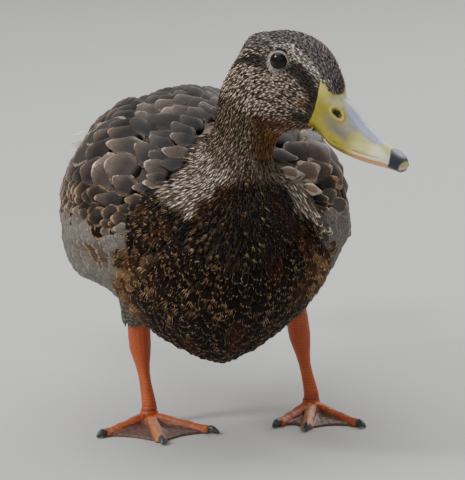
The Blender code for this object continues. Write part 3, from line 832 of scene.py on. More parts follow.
def bill_section(top, base, half_width, power, over, under, waist=0.0):
    """A ring in the head's frame: a dome over the cutting edge, drawn in by waist at that edge."""
    ring = []
    for turn in np.linspace(-math.pi / 2, math.pi / 2, over):
        rise = max(math.cos(turn), 0.0) ** (2 / power)
        aside = math.copysign(abs(math.sin(turn)) ** (2 / power), math.sin(turn))
        aside *= 1 - waist * (1 - min(rise / 0.45, 1)) ** 2
        ring.append(from_head(*(base + (top - base) * rise), half_width * aside))
    for share in np.linspace(1, -1, under + 2)[1:-1]:
        ring.append(from_head(*base, half_width * share * (1 - waist)))
    return ring


# %% Upper bill with nostril, nail and lip
NOSTRIL = (37.4, -16.9)
NOSTRIL_SIZE = (3.0, 1.45)
NOSTRIL_TILT = math.radians(-27)
NAIL_START = 70.6


def nostril_distance(head_places):
    """1 on the nostril's rim, less inside."""
    forward = head_places[:, 0] - NOSTRIL[0]
    upward = head_places[:, 1] - NOSTRIL[1]
    length = forward * math.cos(NOSTRIL_TILT) + upward * math.sin(NOSTRIL_TILT)
    height = upward * math.cos(NOSTRIL_TILT) - forward * math.sin(NOSTRIL_TILT)
    return np.hypot(length / NOSTRIL_SIZE[0], height / NOSTRIL_SIZE[1])


def edge_height(head_places):
    """Height over the cutting edge in mm."""
    return head_places[:, 1] - np.interp(head_places[:, 0], BILL_ROWS[:, 2], BILL_ROWS[:, 3])


def nail_share(head_places):
    """1 on the nail, 0 off it."""
    ahead, _, left = head_places.T
    half = 10.0 * np.clip((ahead - NAIL_START) / 5, 0, 1) ** 0.6
    return ramp(half - np.abs(left), -0.2, 0.5) * fade(ahead, 79.4, 80.2)


rings = []
for row in smooth_line(BILL_ROWS, 170):
    rear = 1 - float(ramp(row[0], 24, 44))
    rings.append(bill_section(row[0:2], row[2:4], row[4], 2.1 + 0.55 * rear, 65, 15, 0.3 * rear))
bill_upper = lofted("bill_upper_skin", rings)
places = to_head(points_of(bill_upper))
hole = nostril_distance(places)
over_edge = edge_height(places)
nail = nail_share(places)
under_skin = fade(bare_reach(places), -2.2, 0.6)
# In mm: the nostril and its rim, the nail and its groove, the lip, a hollow cheek, and the dive.
relief = -1.9 * np.exp(-(hole / 0.92) ** 4) + 0.32 * np.exp(-((hole - 1.35) / 0.3) ** 2)
relief += 0.35 * nail - 0.18 * blob(nail, 0.25, 0.2) * ramp(places[:, 0], 66, 69)
relief += 0.22 * band(over_edge, -0.2, 1.3, 0.25) - 0.24 * blob(over_edge, 1.9, 0.35)
relief -= 0.5 * blob(over_edge, 7.5, 3.0) * band(places[:, 0], 44, 64, 5)
relief -= (BILL_SINK - 2.3 * ramp(places[:, 1], -13, -8)) * under_skin
push_out(bill_upper, relief)


# %% Colours of the bill
def paint_bill(places):
    """Yellow lobes and sides, a blue-grey saddle, a dusky patch, a pale lip and a slate nail."""
    ahead, above, left = places.T
    over_edge = edge_height(places)
    below_top = np.interp(ahead, BILL_ROWS[:, 0], BILL_ROWS[:, 1]) - above
    wobble = ruffle(places * MM, 0.006, 21)
    low_ahead, low_above = ahead - 40, above + 23.5
    dusky = oval(low_ahead + 0.5 * low_above, low_above + 0.25 * low_ahead, (0, 0), (7.5, 3.9), 4)
    inside = np.interp(ahead, (32, 36, 42, 54, 62, 68), (1.4, 4.4, 5.8, 6.6, 6.2, 2.0)) - np.abs(left)
    saddle = ramp(inside + 0.5 * wobble, -1.0, 1.2) * band(ahead, 33.5, 66.5, 2.2)
    saddle_colour = mixed(tint(206, 206, 176), tint(186, 192, 226), ramp(ahead, 36, 44))
    lip_line = blob(over_edge, 2.1, 0.3) * ramp(ahead, 30, 40) * fade(ahead, 66, 70)
    nail = nail_share(places)
    hole = nostril_distance(places)
    under_crown = fade(bare_reach(places), -0.9, -0.1) * ramp(above, -14, -9)
    past_nostril = ahead - NOSTRIL[0] - 0.8 * (above - NOSTRIL[1])
    paint = layered(
        ground(len(places), 172, 160, 46),
        ((222, 210, 112), ramp(above, -15, -6)),
        ((166, 152, 34), 0.8 * blob(above, -20, 6) * fade(ahead, 30, 37)),
        ((140, 134, 48), 0.7 * ramp(-above, 24, 30) * fade(ahead, 30, 40)),
        ((206, 202, 122), ramp(ahead, 46, 56)),
        ((234, 232, 196), ramp(ahead, 58, 68) * ramp(below_top, 0.5, 3)),
        ((128, 120, 106), np.clip(dusky * (0.86 + 0.3 * wobble), 0, 1)),
        ((160, 156, 156), 0.75 * oval(ahead, above, (47, -21), (4.6, 3.2), 4)),
        # Painted sheen: a whitish patch above the nostril, where light is reflected.
        ((236, 232, 186), 0.7 * oval(ahead, above, (34, -11.5), (4.0, 2.6))))
    paint = mixed(paint, saddle_colour, 0.94 * saddle)
    paint = layered(
        paint,
        ((112, 116, 142), 0.5 * saddle * blob(inside, 0.3, 0.9)),
        ((226, 206, 186), 0.9 * band(over_edge, 0.2, 1.7, 0.3) * ramp(ahead, 48, 57)),
        ((104, 74, 44), 0.75 * lip_line),
        ((132, 116, 46), 0.8 * fade(over_edge, 0.4, 1.4) * fade(ahead, 46, 56)),
        ((222, 150, 82), 0.9 * fade(over_edge, 0.0, 0.7) * ramp(ahead, 48, 58)),
        ((58, 64, 78), nail),
        ((34, 38, 48), 0.6 * nail * blob(ahead, 75, 2.4)),
        ((206, 196, 106), blob(hole, 1.5, 0.3)),
        ((150, 92, 42), 0.8 * blob(hole, 1.12, 0.14)),
        ((66, 60, 62), under_crown),
        ((132, 84, 40), 0.7 * blob(hole, 1.75, 0.16) * ramp(past_nostril, 0, 3)))
    # Painted shade: inside the nostril's rim the bill is painted near black, for the shade in the opening.
    return mixed(0.8 * paint, tint(18, 14, 12), fade(hole, 0.78, 1.02))


horn = painted_finish("bill skin", 0.36, 420, 0.12, 0.07)
dress(bill_upper, horn, paint_bill(places))

# %% Lower bill
LOWER_GAP = 0.3  # mm between the upper bill's cutting edge and the lower bill
lower_edge = BILL_ROWS[:, 3] - LOWER_GAP
lower_rows = np.column_stack((BILL_ROWS[:, 2], lower_edge - LOWER_DEPTH, BILL_ROWS[:, 2], lower_edge,
                              BILL_ROWS[:, 4] * LOWER_WIDTH))
rings = [bill_section(row[0:2], row[2:4], row[4], 2.4, 41, 11) for row in smooth_line(lower_rows, 120)]
bill_lower = lofted("bill_lower_skin", rings)
places = to_head(points_of(bill_lower))
ahead = places[:, 0]
push_out(bill_lower, -BILL_SINK * fade(ahead - 29.0, -4, 1))
dress(bill_lower, horn, layered(ground(len(places), 206, 150, 72),
                                ((226, 176, 116), ramp(ahead, 45, 66)),
                                ((128, 112, 44), fade(ahead, 44, 56)),
                                ((120, 104, 84), ramp(ahead, 73, 77))))
print("bill:", len(bill_upper.data.polygons) + len(bill_lower.data.polygons), "faces")

# %% [markdown]
# ## Eyes and lids
# The eye is a wet, nearly black ball that sits deep in the head, held by a thin ring of lid. A sphere
# with a clear coat gives the highlight. The lid is a turned band: a profile that starts as a round rim
# on the ball and runs out under the face feathers, spun about the eye's own axis and made a little
# longer than high, as the opening is.

# %% Eyeballs
EYE_RADIUS = 6.15 * MM
POLE_GAP = 0.02  # radians left open at each pole, closed by a fan
LID_OPENING = math.radians(50)
LID_SPREAD = math.radians(82)


def eye_point(side, polar, turn, radius):
    look, along, up = eye_directions(side)
    across = along * math.cos(turn) + up * math.sin(turn)
    return eye_centres[side] + radius * unit(look * math.cos(polar) + across * math.sin(polar))


def off_axis_angle(side, points):
    """Radians between the way the eye looks and each point."""
    return np.arccos(np.clip(unit(points - eye_centres[side]) @ eye_directions(side)[0], -1, 1))


ball = Finish("eye", 0.06, 0.2)
ball.shader.inputs["Coat Weight"].default_value = 0.12
ball.shader.inputs["Coat Roughness"].default_value = 0.02
ball.colour(ball.read("paint", "Color"))
eyeballs = {}
for side in SIDES:
    rings = [[eye_point(side, polar, turn, EYE_RADIUS) for turn in turns(40)]
             for polar in np.linspace(POLE_GAP, math.pi - POLE_GAP, 40)]
    eyeballs[side] = lofted("eyeball_" + side, rings)
    off_axis = off_axis_angle(side, points_of(eyeballs[side]))
    dress(eyeballs[side], ball, layered(ground(len(off_axis), 10, 8, 7),
                                        ((24, 16, 11), ramp(off_axis, 0.34, 0.40)),
                                        ((16, 12, 10), ramp(off_axis, 0.56, 0.68))))

# %% Lids
# Share of the way from the opening to the lid's outer rim, and distance from the eye's centre in mm.
LID_PROFILE = ((0.0, 6.1), (0.0, 6.3), (0.03, 6.48), (0.09, 6.55), (0.2, 6.5), (0.45, 6.35), (1.0, 5.9))
lid_finish = painted_finish("lid skin", 0.6, 1500, 0.3, 0.15)
LID_LENGTHENED = 0.04  # share by which the opening is longer than a round one
lids = {}
for side in SIDES:
    rings = []
    for share, radius in LID_PROFILE:
        polar = LID_OPENING + (LID_SPREAD - LID_OPENING) * share
        rings.append([eye_point(side, polar * (1 + LID_LENGTHENED * math.cos(2 * turn)), turn, radius * MM)
                      for turn in turns(64)])
    for polar, radius in ((LID_SPREAD, 5.0), (LID_OPENING, 5.4)):
        rings.append([eye_point(side, polar, turn, radius * MM) for turn in turns(64)])
    lids[side] = lofted("eyelids_" + side, rings + rings[:1], caps=False, gap=1e-7)
    rim_points = points_of(lids[side])
    from_axis = np.degrees(off_axis_angle(side, rim_points))
    dress(lids[side], lid_finish, layered(ground(len(rim_points), 156, 146, 132),
                                          ((140, 131, 122), ramp(to_head(rim_points)[:, 1], -2, 4)),
                                          ((78, 70, 64), 0.85 * ramp(from_axis, 55, 64))))
print("eyeball radius", round(EYE_RADIUS / MM, 2), "mm")

# %% [markdown]
# ## Legs and feet
# Shank, foot and hind toe are one piece of scaly skin, so we melt the frame's solids together again,
# this time with a voxel of about half a millimetre, fine enough to keep the toes apart from the webs.
# The scales are moved points where they break the outline: plates across the front of the shank and
# the top of each toe, knuckles at the toe joints, and folds that fan out over the webs.

# %% One skin for each leg
LEG_VOXEL = 0.55 * MM
LEG_PARTS = ("shank_", "foot_", "hind_toe_")
TOE_COLOURS = {"inner": (184, 92, 50), "middle": (190, 122, 76), "outer": (184, 92, 50)}
LEAN_START, LEAN_SPAN = 44, 5.7  # mm above the floor where the shank begins to lean, and over how much
FRAME_SHANK_TOP = 49.7
SHANK_TOP = 64  # hidden in the thigh's feathers
SHANK_LEAN = {"left": (-3.0, -4.4), "right": (-1.0, -3.2)}  # mm by which the top leans
PLATE_STEP, TOE_PLATE_STEP = 1.75, 1.7  # mm between the scales' edges
# The ankle creases are pressed in and also painted with shade.
ANKLE_CREASES = ((8.6, 1.0), (10.6, 0.45))  # height in mm, and how strong
KNUCKLES = (0.36, 0.66, 0.95)  # shares of a toe's length
WEB_FOLDS = 46


def toe_lines(side):
    """Heading of each toe, and the reach in mm from the foot joint to its claw's root and tip."""
    lines = {}
    for toe in TOE_COLOURS:
        flat = (points_of(nodes[f"claw_{toe}_{side}"]) - foot_joints[side])[:, :2]
        heading = unit(flat.mean(axis=0))
        lines[toe] = (heading, (flat @ heading).min() / MM, (flat @ heading).max() / MM)
    return lines


def paint_leg(side, points):
    """Colour and relief in mm for each point of a leg."""
    height = points[:, 2] / MM
    flat = ((points - foot_joints[side]) / MM)[:, :2]
    reach = lengths(flat)
    wobble = ruffle(points, 0.008, 31)
    fine = ruffle(points, 0.0025, 33)
    on_shank = ramp(height, 11, 15)
    front = ramp(-unit(flat)[:, 1], 0.0, 0.6)
    plate = np.cos(2 * math.pi * height / PLATE_STEP + 0.5 * wobble)
    relief = 0.07 * on_shank * (0.35 + 0.65 * front) * np.abs(plate)
    paint = layered(
        ground(len(points), 192, 88, 38),
        ((178, 80, 36), 0.5 * ramp(wobble, -0.2, 0.8)),
        # Painted shade: the shank darkens upwards, towards the shadow under the body.
        ((160, 66, 30), 0.45 * ramp(height, 26, 46)),
        # The paler fronts of the plates are partly the scales' own colour and partly painted highlight; the
        # darker gaps between plates are painted shade.
        ((224, 138, 90), 0.28 * on_shank * front * ramp(plate, 0.3, 1)),
        ((138, 54, 24), 0.2 * on_shank * ramp(-plate, 0.5, 1)))
    # Painted shade: the creases at the ankle are painted dark besides being pressed in.
    for level, depth in ANKLE_CREASES:
        crease = depth * blob(height + 0.35 * wobble, level, 0.55)
        crease = crease * ramp(-flat[:, 1], -4, 2) * fade(reach, 7, 11)
        relief -= 0.4 * crease
        paint = layered(paint, ((92, 38, 26), 0.8 * crease))
    on_foot = fade(height, 9, 12)
    nearest = np.full(len(points), FAR)
    toe_paint = ground(len(points), 206, 110, 62)  # what the hind toe keeps
    for toe, (heading, start, _) in toe_lines(side).items():
        along = flat @ heading
        off = np.abs(flat @ np.array((-heading[1], heading[0])))
        off = np.where(along > 0, off, FAR)
        toe_paint = np.where((off < nearest)[:, None], tint(*TOE_COLOURS[toe]), toe_paint)
        nearest = np.minimum(nearest, off)
        on_toe = fade(off, 2.6, 3.6) * ramp(along, 4, 8) * on_foot
        relief += 0.45 * on_toe
        relief += 0.09 * on_toe * np.abs(np.cos(math.pi * along / TOE_PLATE_STEP))
        for knuckle in KNUCKLES:
            relief += 0.40 * on_toe * blob(along, knuckle * start, 2.6)
            relief -= 0.22 * on_toe * blob(along, knuckle * start + 3.4, 0.9)
    on_web = ramp(nearest - 0.02 * reach, 2.0, 3.4) * on_foot * ramp(reach, 9, 15)
    relief += 0.10 * on_web * np.sin(np.arctan2(flat[:, 0], flat[:, 1]) * WEB_FOLDS + 2 * wobble)
    relief += 0.06 * fine * on_foot
    toe_paint = layered(toe_paint, ((224, 150, 98), 0.4 * ramp(fine, 0.2, 0.9)))
    web_paint = layered(ground(len(points), 92, 70, 62), ((122, 88, 72), ramp(fine, 0, 0.9)))
    paint = mixed(paint, toe_paint, on_foot * ramp(reach, 8, 16))
    paint = mixed(paint, web_paint, on_web)
    paint = layered(paint, ((150, 76, 44), 0.6 * on_foot * blob(nearest, 3.3, 0.8) * ramp(reach, 8, 14)),
                    ((110, 84, 72), on_foot * fade(height, 0.15, 0.9)))
    return paint, relief * ramp(height, 0.1, 1.2)


scaly = painted_finish("scaled skin", 0.5, 1700, 0.25, 0.16)
scaly.bump(scaly.step(scaly.cells(950.0), 0.0, 0.32), 0.35, 0.18 * MM)
legs = {}
for side in SIDES:
    leg = joined_copy("leg_" + side, [nodes[part + side] for part in LEG_PARTS])
    form_points = points_of(leg)
    rise = np.clip((form_points[:, 2] / MM - LEAN_START) / LEAN_SPAN, 0, 1)
    form_points[:, :2] += rise[:, None] * np.array(SHANK_LEAN[side]) * MM
    form_points[:, 2] += rise * (SHANK_TOP - FRAME_SHANK_TOP) * MM
    move_points(leg, form_points)
    leg = melted(leg, LEG_VOXEL, 3)
    leg_points = points_of(leg)
    paint, relief = paint_leg(side, leg_points)
    leg_points += normals_of(leg) * relief[:, None] * MM
    leg_points[:, 2] = np.maximum(leg_points[:, 2], 0.0)
    move_points(leg, leg_points)
    dress(leg, scaly, paint)
    legs[side] = leg
    print("leg", side, len(leg.data.polygons), "faces")

# %% [markdown]
# ## Claws
# Each claw is a short blunt hook of dark horn that grows out of the toe's tip. A loft along a curve,
# wide at the root and drawn down at the tip, takes a dozen lines, and one function makes all six.

# %% Six claws
# Share of the claw's length, then height of its middle, half width and half thickness in mm.
CLAW_RINGS = ((0.0, 2.5, 2.0, 2.1), (0.18, 2.75, 2.1, 2.2), (0.40, 2.65, 2.0, 2.05), (0.60, 2.25, 1.7, 1.7),
              (0.76, 1.75, 1.25, 1.25), (0.87, 1.35, 0.8, 0.8), (0.92, 1.2, 0.25, 0.25))
CLAW_OVERLAP = 0.6  # mm by which a claw reaches back over its toe
claw_finish = Finish("horn", 0.34)
claw_finish.colour(claw_finish.blend(claw_finish.step(claw_finish.noise(700, 3), 0.35, 0.7),
                                     (*tint(50, 52, 58), 1), (*tint(92, 92, 94), 1)))
claw_finish.bump(claw_finish.noise(1400, 2), 0.2, 0.1 * MM)
claws = {}
for side in SIDES:
    for toe, (heading, start, end) in toe_lines(side).items():
        forward = np.array((*heading, 0.0))
        across = np.cross(forward, UP)
        rings = []
        for share, height, wide, tall in smooth_line(CLAW_RINGS, 19):
            along = start - CLAW_OVERLAP + (end - start + CLAW_OVERLAP) * share
            centre = np.array((*foot_joints[side][:2], height * MM)) + forward * along * MM
            rings.append([centre + (across * wide * math.cos(turn) + UP * tall * math.sin(turn)) * MM
                          for turn in turns(24)])
        claws[toe, side] = lofted(f"claw_{toe}_{side}_horn", rings)
        dress(claws[toe, side], claw_finish)
print(len(claws), "claws")

# %% [markdown]
# ## Feather shapes
# A body feather is a thin curved vane: narrow at the root, broad in the middle, round or frayed at the
# tip, and highest along its shaft. We model a few flat ones, one unit long and wide, as closed lens
# shapes with a top and an under side. Their heights are kept apart as attributes: rise, which grows
# towards the tip so that each feather lies over the next, and under, the thickness. Teeth along the tip
# are the barbs that part from each other on a real breast feather.

# %% A closed vane
def vane_shape(name, columns, rows, outline, teeth=0.0, roundness=0.1, camber=0.35, thick=0.22, seed=0):
    """columns is even; outline gives the full width for a share of the length; thick is in mm."""
    draw = np.random.default_rng(seed)
    points, rise, under, vane = [], [], [], []
    for share in rows:
        for column, side in enumerate(np.linspace(-1, 1, columns + 1)):
            reach = share - roundness * side**2 * share**2
            if share == rows[-1]:
                notch = teeth * draw.uniform(0.6, 1.0) if column % 2 else 0.0
                reach -= notch + teeth * 0.35 * draw.uniform(0, 1) * abs(side)
            points.append((0.5 * side * outline(share), reach, 0.0))
            rise.append(max(reach, 0) ** 0.85 - camber * side**2 * (0.25 + 0.75 * reach))
            under.append(0.0)
            vane.append((side, share, 0.0))
    width = columns + 1
    inner = {}
    for index in range(width, len(points) - width):
        if 0 < index % width < columns:
            side, reach = vane[index][0], points[index][1]
            inner[index] = len(points)
            points.append(points[index])
            rise.append(rise[index])
            under.append(thick * (1 - 0.7 * side**2) * (1 - 0.6 * reach) + 0.04)
            vane.append(vane[index])
    faces = []
    for corner in range((len(rows) - 1) * width):
        if corner % width < columns:
            corners = (corner, corner + 1, corner + 1 + width, corner + width)
            faces += [corners, tuple(inner.get(index, index) for index in reversed(corners))]
    shape = mesh_object(name, points, faces)
    write_attribute(shape, "rise", rise)
    write_attribute(shape, "under", under)
    write_attribute(shape, "vane", vane)
    return shape


def leaf(share, root=0.3, tip=0.45, middle=0.62):
    """A rounded outline: root width, full width at the middle, and tip width."""
    if share < middle:
        return root + (1 - root) * math.sin(0.5 * math.pi * share / middle)
    return tip + (1 - tip) * math.cos(0.5 * math.pi * (share - middle) / (1 - middle))


def leaf_like(*sizes):
    return lambda share: leaf(share, *sizes)


def strand_outline(share):
    return 0.13 * leaf(share, 0.7, 0.2, 0.5)


def wisp_shape(name, strands=4, seed=0):
    """A few parted strands that fan out from one root."""
    draw = np.random.default_rng(seed)
    parts = []
    for index in range(strands):
        side = 2 * index / (strands - 1) - 1 + draw.uniform(-0.15, 0.15)
        strand = vane_shape(name, 2, (0, 0.55, 1), strand_outline, camber=0.1, thick=0.1)
        start, reach = draw.uniform(0.0, 0.3), draw.uniform(0.62, 1.0)
        points = points_of(strand)
        along = start + (reach - start) * points[:, 1]
        points[:, 0] += side * (0.12 + 0.34 * along)
        points[:, 1] = along
        move_points(strand, points)
        parts.append(strand)
    context = {"active_object": parts[0], "selected_editable_objects": parts, "selected_objects": parts}
    with bpy.context.temp_override(**context):
        bpy.ops.object.join()
    return parts[0]


def shape_set(name, count, maker=vane_shape, **settings):
    """A collection of a few variants of one shape."""
    collection = bpy.data.collections.new(name)
    scene.collection.children.link(collection)
    for index in range(count):
        shape = maker(f"{name}_{index}", seed=index + 1, **settings)
        scene.collection.objects.unlink(shape)
        collection.objects.link(shape)
    return collection


shapes = {
    "tuft": shape_set("tuft", 4, columns=2, rows=(0, 0.5, 1), outline=leaf_like(0.55, 0.16, 0.5),
                      teeth=0.12, camber=0.4, thick=0.1),
    "frayed": shape_set("frayed", 5, columns=12, rows=(0, 0.35, 0.7, 1), teeth=0.2, roundness=0.14,
                        outline=leaf_like(0.3, 0.66, 0.65), camber=0.3),
    "wisp": shape_set("wisp", 5, wisp_shape),
    "soft": shape_set("soft", 3, columns=8, rows=(0, 0.3, 0.6, 0.85, 1), outline=leaf_like(0.35, 0.6, 0.6),
                      teeth=0.05, roundness=0.2, thick=0.12),
    "broad": shape_set("broad", 3, columns=8, rows=(0, 0.25, 0.5, 0.7, 0.85, 0.95, 1), thick=0.2,
                       outline=leaf_like(0.4, 0.6, 0.62), teeth=0.012, roundness=0.3, camber=0.4),
    "long": shape_set("long", 2, columns=6, rows=(0, 0.12, 0.25, 0.38, 0.5, 0.62, 0.74, 0.85, 0.94, 1),
                      outline=leaf_like(0.4, 0.3, 0.66), teeth=0.006, roundness=0.07, thick=0.4),
}

# %% [markdown]
# ## Where feathers root
# Feathers grow at even distances, closer where they are small. Random points would clump, so we throw
# many and keep only those with a clear space round them, which is called Poisson disk sampling. The
# clear space is a function of the place on the bird, and so are a feather's length, width and lift.

# %% Which way and how close
def flattened(directions, normals):
    """The directions laid into the surface, at unit length."""
    return unit(directions - (directions * normals).sum(axis=1, keepdims=True) * normals)


def lie_on(points, normals, disorder=0, seed=0):
    """The direction that each feather lies in, square to its normal, turned a little at random."""
    run, lie, _ = along_spine(points)
    _, angle, edge, off_spine = body_fields(points)
    along_y = points[:, 1] / MM
    lie = lie + np.outer(0.35 * band(along_y, -140, 60, 30) * ramp(angle, 70, 110), (0, 0, -1))
    outward = 0.6 * np.clip((points[:, 0] - BODY_X) / (40 * MM), -1, 1) * fade(along_y, -120, -70)
    backward = unit(np.stack((outward, np.ones(len(points)), np.full(len(points), -0.15)), axis=1))
    lie = mixed(lie, backward, ramp(-edge, -3, 5) * ramp(off_spine, 21, 28) * fade(run, 150, 190))
    lie = flattened(lie, normals)
    turn = np.random.default_rng(seed).normal(0, math.radians(disorder), len(points))[:, None]
    return unit(lie * np.cos(turn) + np.cross(normals, lie) * np.sin(turn))


def clear_space(points):
    """Distance between roots across the flow of the coat, in mm."""
    run, angle, edge, off_spine = body_fields(points)
    space = np.interp(run, (0, 30, 60, 85, 100, 108, 114, 122, 136, 400),
                      (0.72, 0.74, 0.76, 0.8, 0.86, 1.1, 1.6, 2.4, 3.0, 3.0))
    behind = ramp(-edge, -2, 4) * ramp(off_spine, 20, 26)
    wide_back = np.interp(angle, (0, 25, 40, 58, 68, 75, 82, 90, 120, 180),
                          (6, 8, 9.2, 8.8, 6.2, 4.6, 4, 4.4, 5, 4.6))
    wide_back = wide_back * np.minimum(0.4 + 0.6 * ramp(-edge, 0, 14), 0.35 + 0.65 * ramp(off_spine, 23, 38))
    space = space + (wide_back - space) * behind
    eye = eye_distance(points)
    return np.where(eye < 9, np.minimum(space, 0.6 + 0.03 * eye), space)


def flow_stretch(points):
    """How much further apart roots stand along the flow than across it."""
    run, _, _ = along_spine(points)
    return 2.0 - 0.5 * ramp(run, 60, 118) - 0.3 * ramp(run, 118, 150)


# %% Throwing roots on a surface
PICK_ROOM = 1.4  # picked feathers stand this much further apart than all of them


def keep_apart(points, room, lie, stretch):
    """Numbers of the roots that stand clear of every earlier one; distances shrink along the flow."""
    tree = KDTree(len(points))
    for number, point in enumerate(points):
        tree.insert(point, number)
    tree.balance()
    free = np.ones(len(points), bool)
    kept = []
    for number in range(len(points)):
        if not free[number]:
            continue
        kept.append(number)
        found = tree.find_range(points[number], room[number] * stretch[number])
        near = np.array([neighbour[1] for neighbour in found])
        step = points[near] - points[number]
        along = step @ lie[number]
        short = (step**2).sum(axis=1) - along**2 * (1 - 1 / stretch[number] ** 2)
        free[near[short < room[number] ** 2]] = False
    return np.array(kept)


def throw_roots(surface, wanted, seed):
    """Even roots on the wanted part of a surface: points, normals, clear space in mm and picks."""
    surface.data.calc_loop_triangles()
    corners = np.array([triangle.vertices[:] for triangle in surface.data.loop_triangles])
    draw = np.random.default_rng(seed)
    corner_points, corner_normals = points_of(surface), normals_of(surface)
    corners = corners[wanted(corner_points)[corners[:, 0]]]
    a, b, c = (corner_points[corners[:, k]] for k in range(3))
    area = 0.5 * lengths(np.cross(b - a, c - a))
    middle = (a + b + c) / 3
    gap = clear_space(middle)
    want = (3.4 + 9 * ramp(gap, 3.2, 6)) * area / (gap * MM) ** 2 / flow_stretch(middle)
    index = draw.choice(len(area), int(want.sum()), p=want / want.sum())
    one, two = draw.random(len(index)), draw.random(len(index))
    flip = one + two > 1
    one[flip], two[flip] = 1 - one[flip], 1 - two[flip]
    share = np.stack((1 - one - two, one, two), axis=1)[..., None]
    points = (corner_points[corners[index]] * share).sum(axis=1)
    normals = unit((corner_normals[corners[index]] * share).sum(axis=1))
    kept = keep_apart(points, clear_space(points) * MM, lie_on(points, normals), flow_stretch(points))
    points, normals = points[kept], normals[kept]
    room = clear_space(points)
    picked = keep_apart(points, room * PICK_ROOM * MM, lie_on(points, normals), flow_stretch(points))
    return points, normals, room, np.isin(np.arange(len(points)), picked)

# %% [markdown]
# ## The feathering node tree
# Geometry Nodes do the planting. The tree takes root points that carry their own directions, sizes and
# colours, sets an instance of a shape on each, and makes the instances real. Then comes the step that
# makes them lie: every point is moved to the nearest place on the skin and lifted along the skin's own
# normal, so that a flat shape bends round the bird. Last it writes the bake map, a tiny patch for each
# feather at its root's place on the unwrapped skin, and sets the material.

# %% Building the tree
def feather_tree():
    tree = bpy.data.node_groups.new("plant feathers", "GeometryNodeTree")
    face = tree.interface
    for name, kind in (("Geometry", "NodeSocketGeometry"), ("Shapes", "NodeSocketCollection"),
                       ("Skin", "NodeSocketObject"), ("Finish", "NodeSocketMaterial"),
                       ("Patch Size", "NodeSocketFloat")):
        face.new_socket(name, in_out="INPUT", socket_type=kind)
    face.new_socket("Geometry", in_out="OUTPUT", socket_type="NodeSocketGeometry")

    def made(kind, inputs, **settings):
        """The first output of a new node."""
        return add_node(tree, kind, inputs, **settings).outputs[0]

    def number(name):
        return made("GeometryNodeInputNamedAttribute", {"Name": name}, data_type="FLOAT")

    def vector(name):
        return made("GeometryNodeInputNamedAttribute", {"Name": name}, data_type="FLOAT_VECTOR")

    given = add_node(tree, "NodeGroupInput").outputs
    kinds = made("GeometryNodeCollectionInfo", {"Collection": given["Shapes"], "Separate Children": True,
                                                "Reset Children": True})
    turn = made("FunctionNodeAxesToRotation", {"Primary Axis": vector("up"), "Secondary Axis": vector("lie")},
                primary_axis="Z", secondary_axis="Y")
    kind = made("GeometryNodeInputNamedAttribute", {"Name": "kind"}, data_type="INT")
    planted = made("GeometryNodeInstanceOnPoints", {
        "Points": given["Geometry"], "Instance": kinds, "Pick Instance": True, "Instance Index": kind,
        "Rotation": turn, "Scale": vector("size")})
    coat = made("GeometryNodeRealizeInstances", {"Geometry": planted})
    body = add_node(tree, "GeometryNodeObjectInfo", {"Object": given["Skin"]},
                    transform_space="ORIGINAL").outputs["Geometry"]
    near = made("GeometryNodeProximity", {"Target": body}, target_element="FACES")
    facing = made("GeometryNodeSampleNearestSurface", {"Mesh": body, "Value": vector("skin_up")},
                  data_type="FLOAT_VECTOR")
    height = made("ShaderNodeMath", {0: number("rise"), 1: number("lift"), 2: number("seat")},
                  operation="MULTIPLY_ADD")
    lower = made("ShaderNodeMath", {0: number("under"), 1: -MM, 2: height}, operation="MULTIPLY_ADD")
    raised = made("ShaderNodeVectorMath", {0: facing, "Scale": lower}, operation="SCALE")
    place = made("ShaderNodeVectorMath", {0: near, 1: raised}, operation="ADD")
    coat = made("GeometryNodeSetPosition", {"Geometry": coat, "Position": place})
    patch = made("ShaderNodeVectorMath", {0: vector("vane"), "Scale": given["Patch Size"]}, operation="SCALE")
    spot = made("ShaderNodeVectorMath", {0: vector("place"), 1: patch}, operation="ADD")
    coat = made("GeometryNodeStoreNamedAttribute", {"Geometry": coat, "Name": "OFBake", "Value": spot},
                data_type="FLOAT2", domain="CORNER")
    coat = made("GeometryNodeSetShadeSmooth", {"Geometry": coat})
    coat = made("GeometryNodeSetMaterial", {"Geometry": coat, "Material": given["Finish"]})
    add_node(tree, "NodeGroupOutput", {"Geometry": coat})
    return tree


planting = feather_tree()
PATCH_SIZE = 0.0015  # half a patch's width, as the vane's own coordinate runs from -1 to 1
CARRIED = ("up", "lie", "size", "span", "kind", "lift", "seat", "tone", "dark", "pale", "marks", "place")
coats = []


def plant(name, roots, shape_name, finish, form=None, slot="body_plumage"):
    """Makes one coat piece from a table of roots, and removes the form it was laid on, if not the skin."""
    count = len(roots["point"])
    bed = mesh_object(name, roots["point"], [], smooth=False)
    draw = np.random.default_rng(count)
    size = np.stack((roots["width"], roots["length"], np.full(count, 1 / MM)), axis=1) * MM
    values = {**roots, "size": size, "span": size / MM,
              "kind": draw.integers(0, len(shapes[shape_name].objects), count), "lift": roots["lift"] * MM,
              "seat": roots.get("seat", np.zeros(count)) * MM, "tone": draw.random(count),
              "place": unwrapped(roots["point"])}
    for key in CARRIED:
        write_attribute(bed, key, values[key])
    modifier = bed.modifiers.new("plant", "NODES")
    modifier.node_group = planting
    values = {"Shapes": shapes[shape_name], "Skin": form or skin, "Finish": finish.material,
              "Patch Size": PATCH_SIZE}
    for item in planting.interface.items_tree:
        if item.item_type == "SOCKET" and item.in_out == "INPUT" and item.name in values:
            modifier[item.identifier] = values[item.name]
    settled(bed)
    coats.append((bed, slot))
    if form:
        bpy.data.objects.remove(form)
    print(name, count, "feathers,", sum(len(face.vertices) - 2 for face in bed.data.polygons), "triangles")


def unwrapped(points):
    """Places on the unwrap of the skin: the run along the spine line and the angle about it."""
    run, lie, place = along_spine(points)
    turned = ramp(run, 50, 110)[:, None]
    left = unit(HEAD_LEFT * (1 - turned) + np.array((1.0, 0, 0)) * turned)
    top = unit(np.cross(left, lie))
    away = points - place
    angle = np.arctan2((away * left).sum(axis=1), (away * top).sum(axis=1))
    places = (0.02 + 0.96 * run / spine_run[-1], 0.5 + 0.48 * angle / math.pi, np.zeros(len(points)))
    return np.stack(places, axis=1)

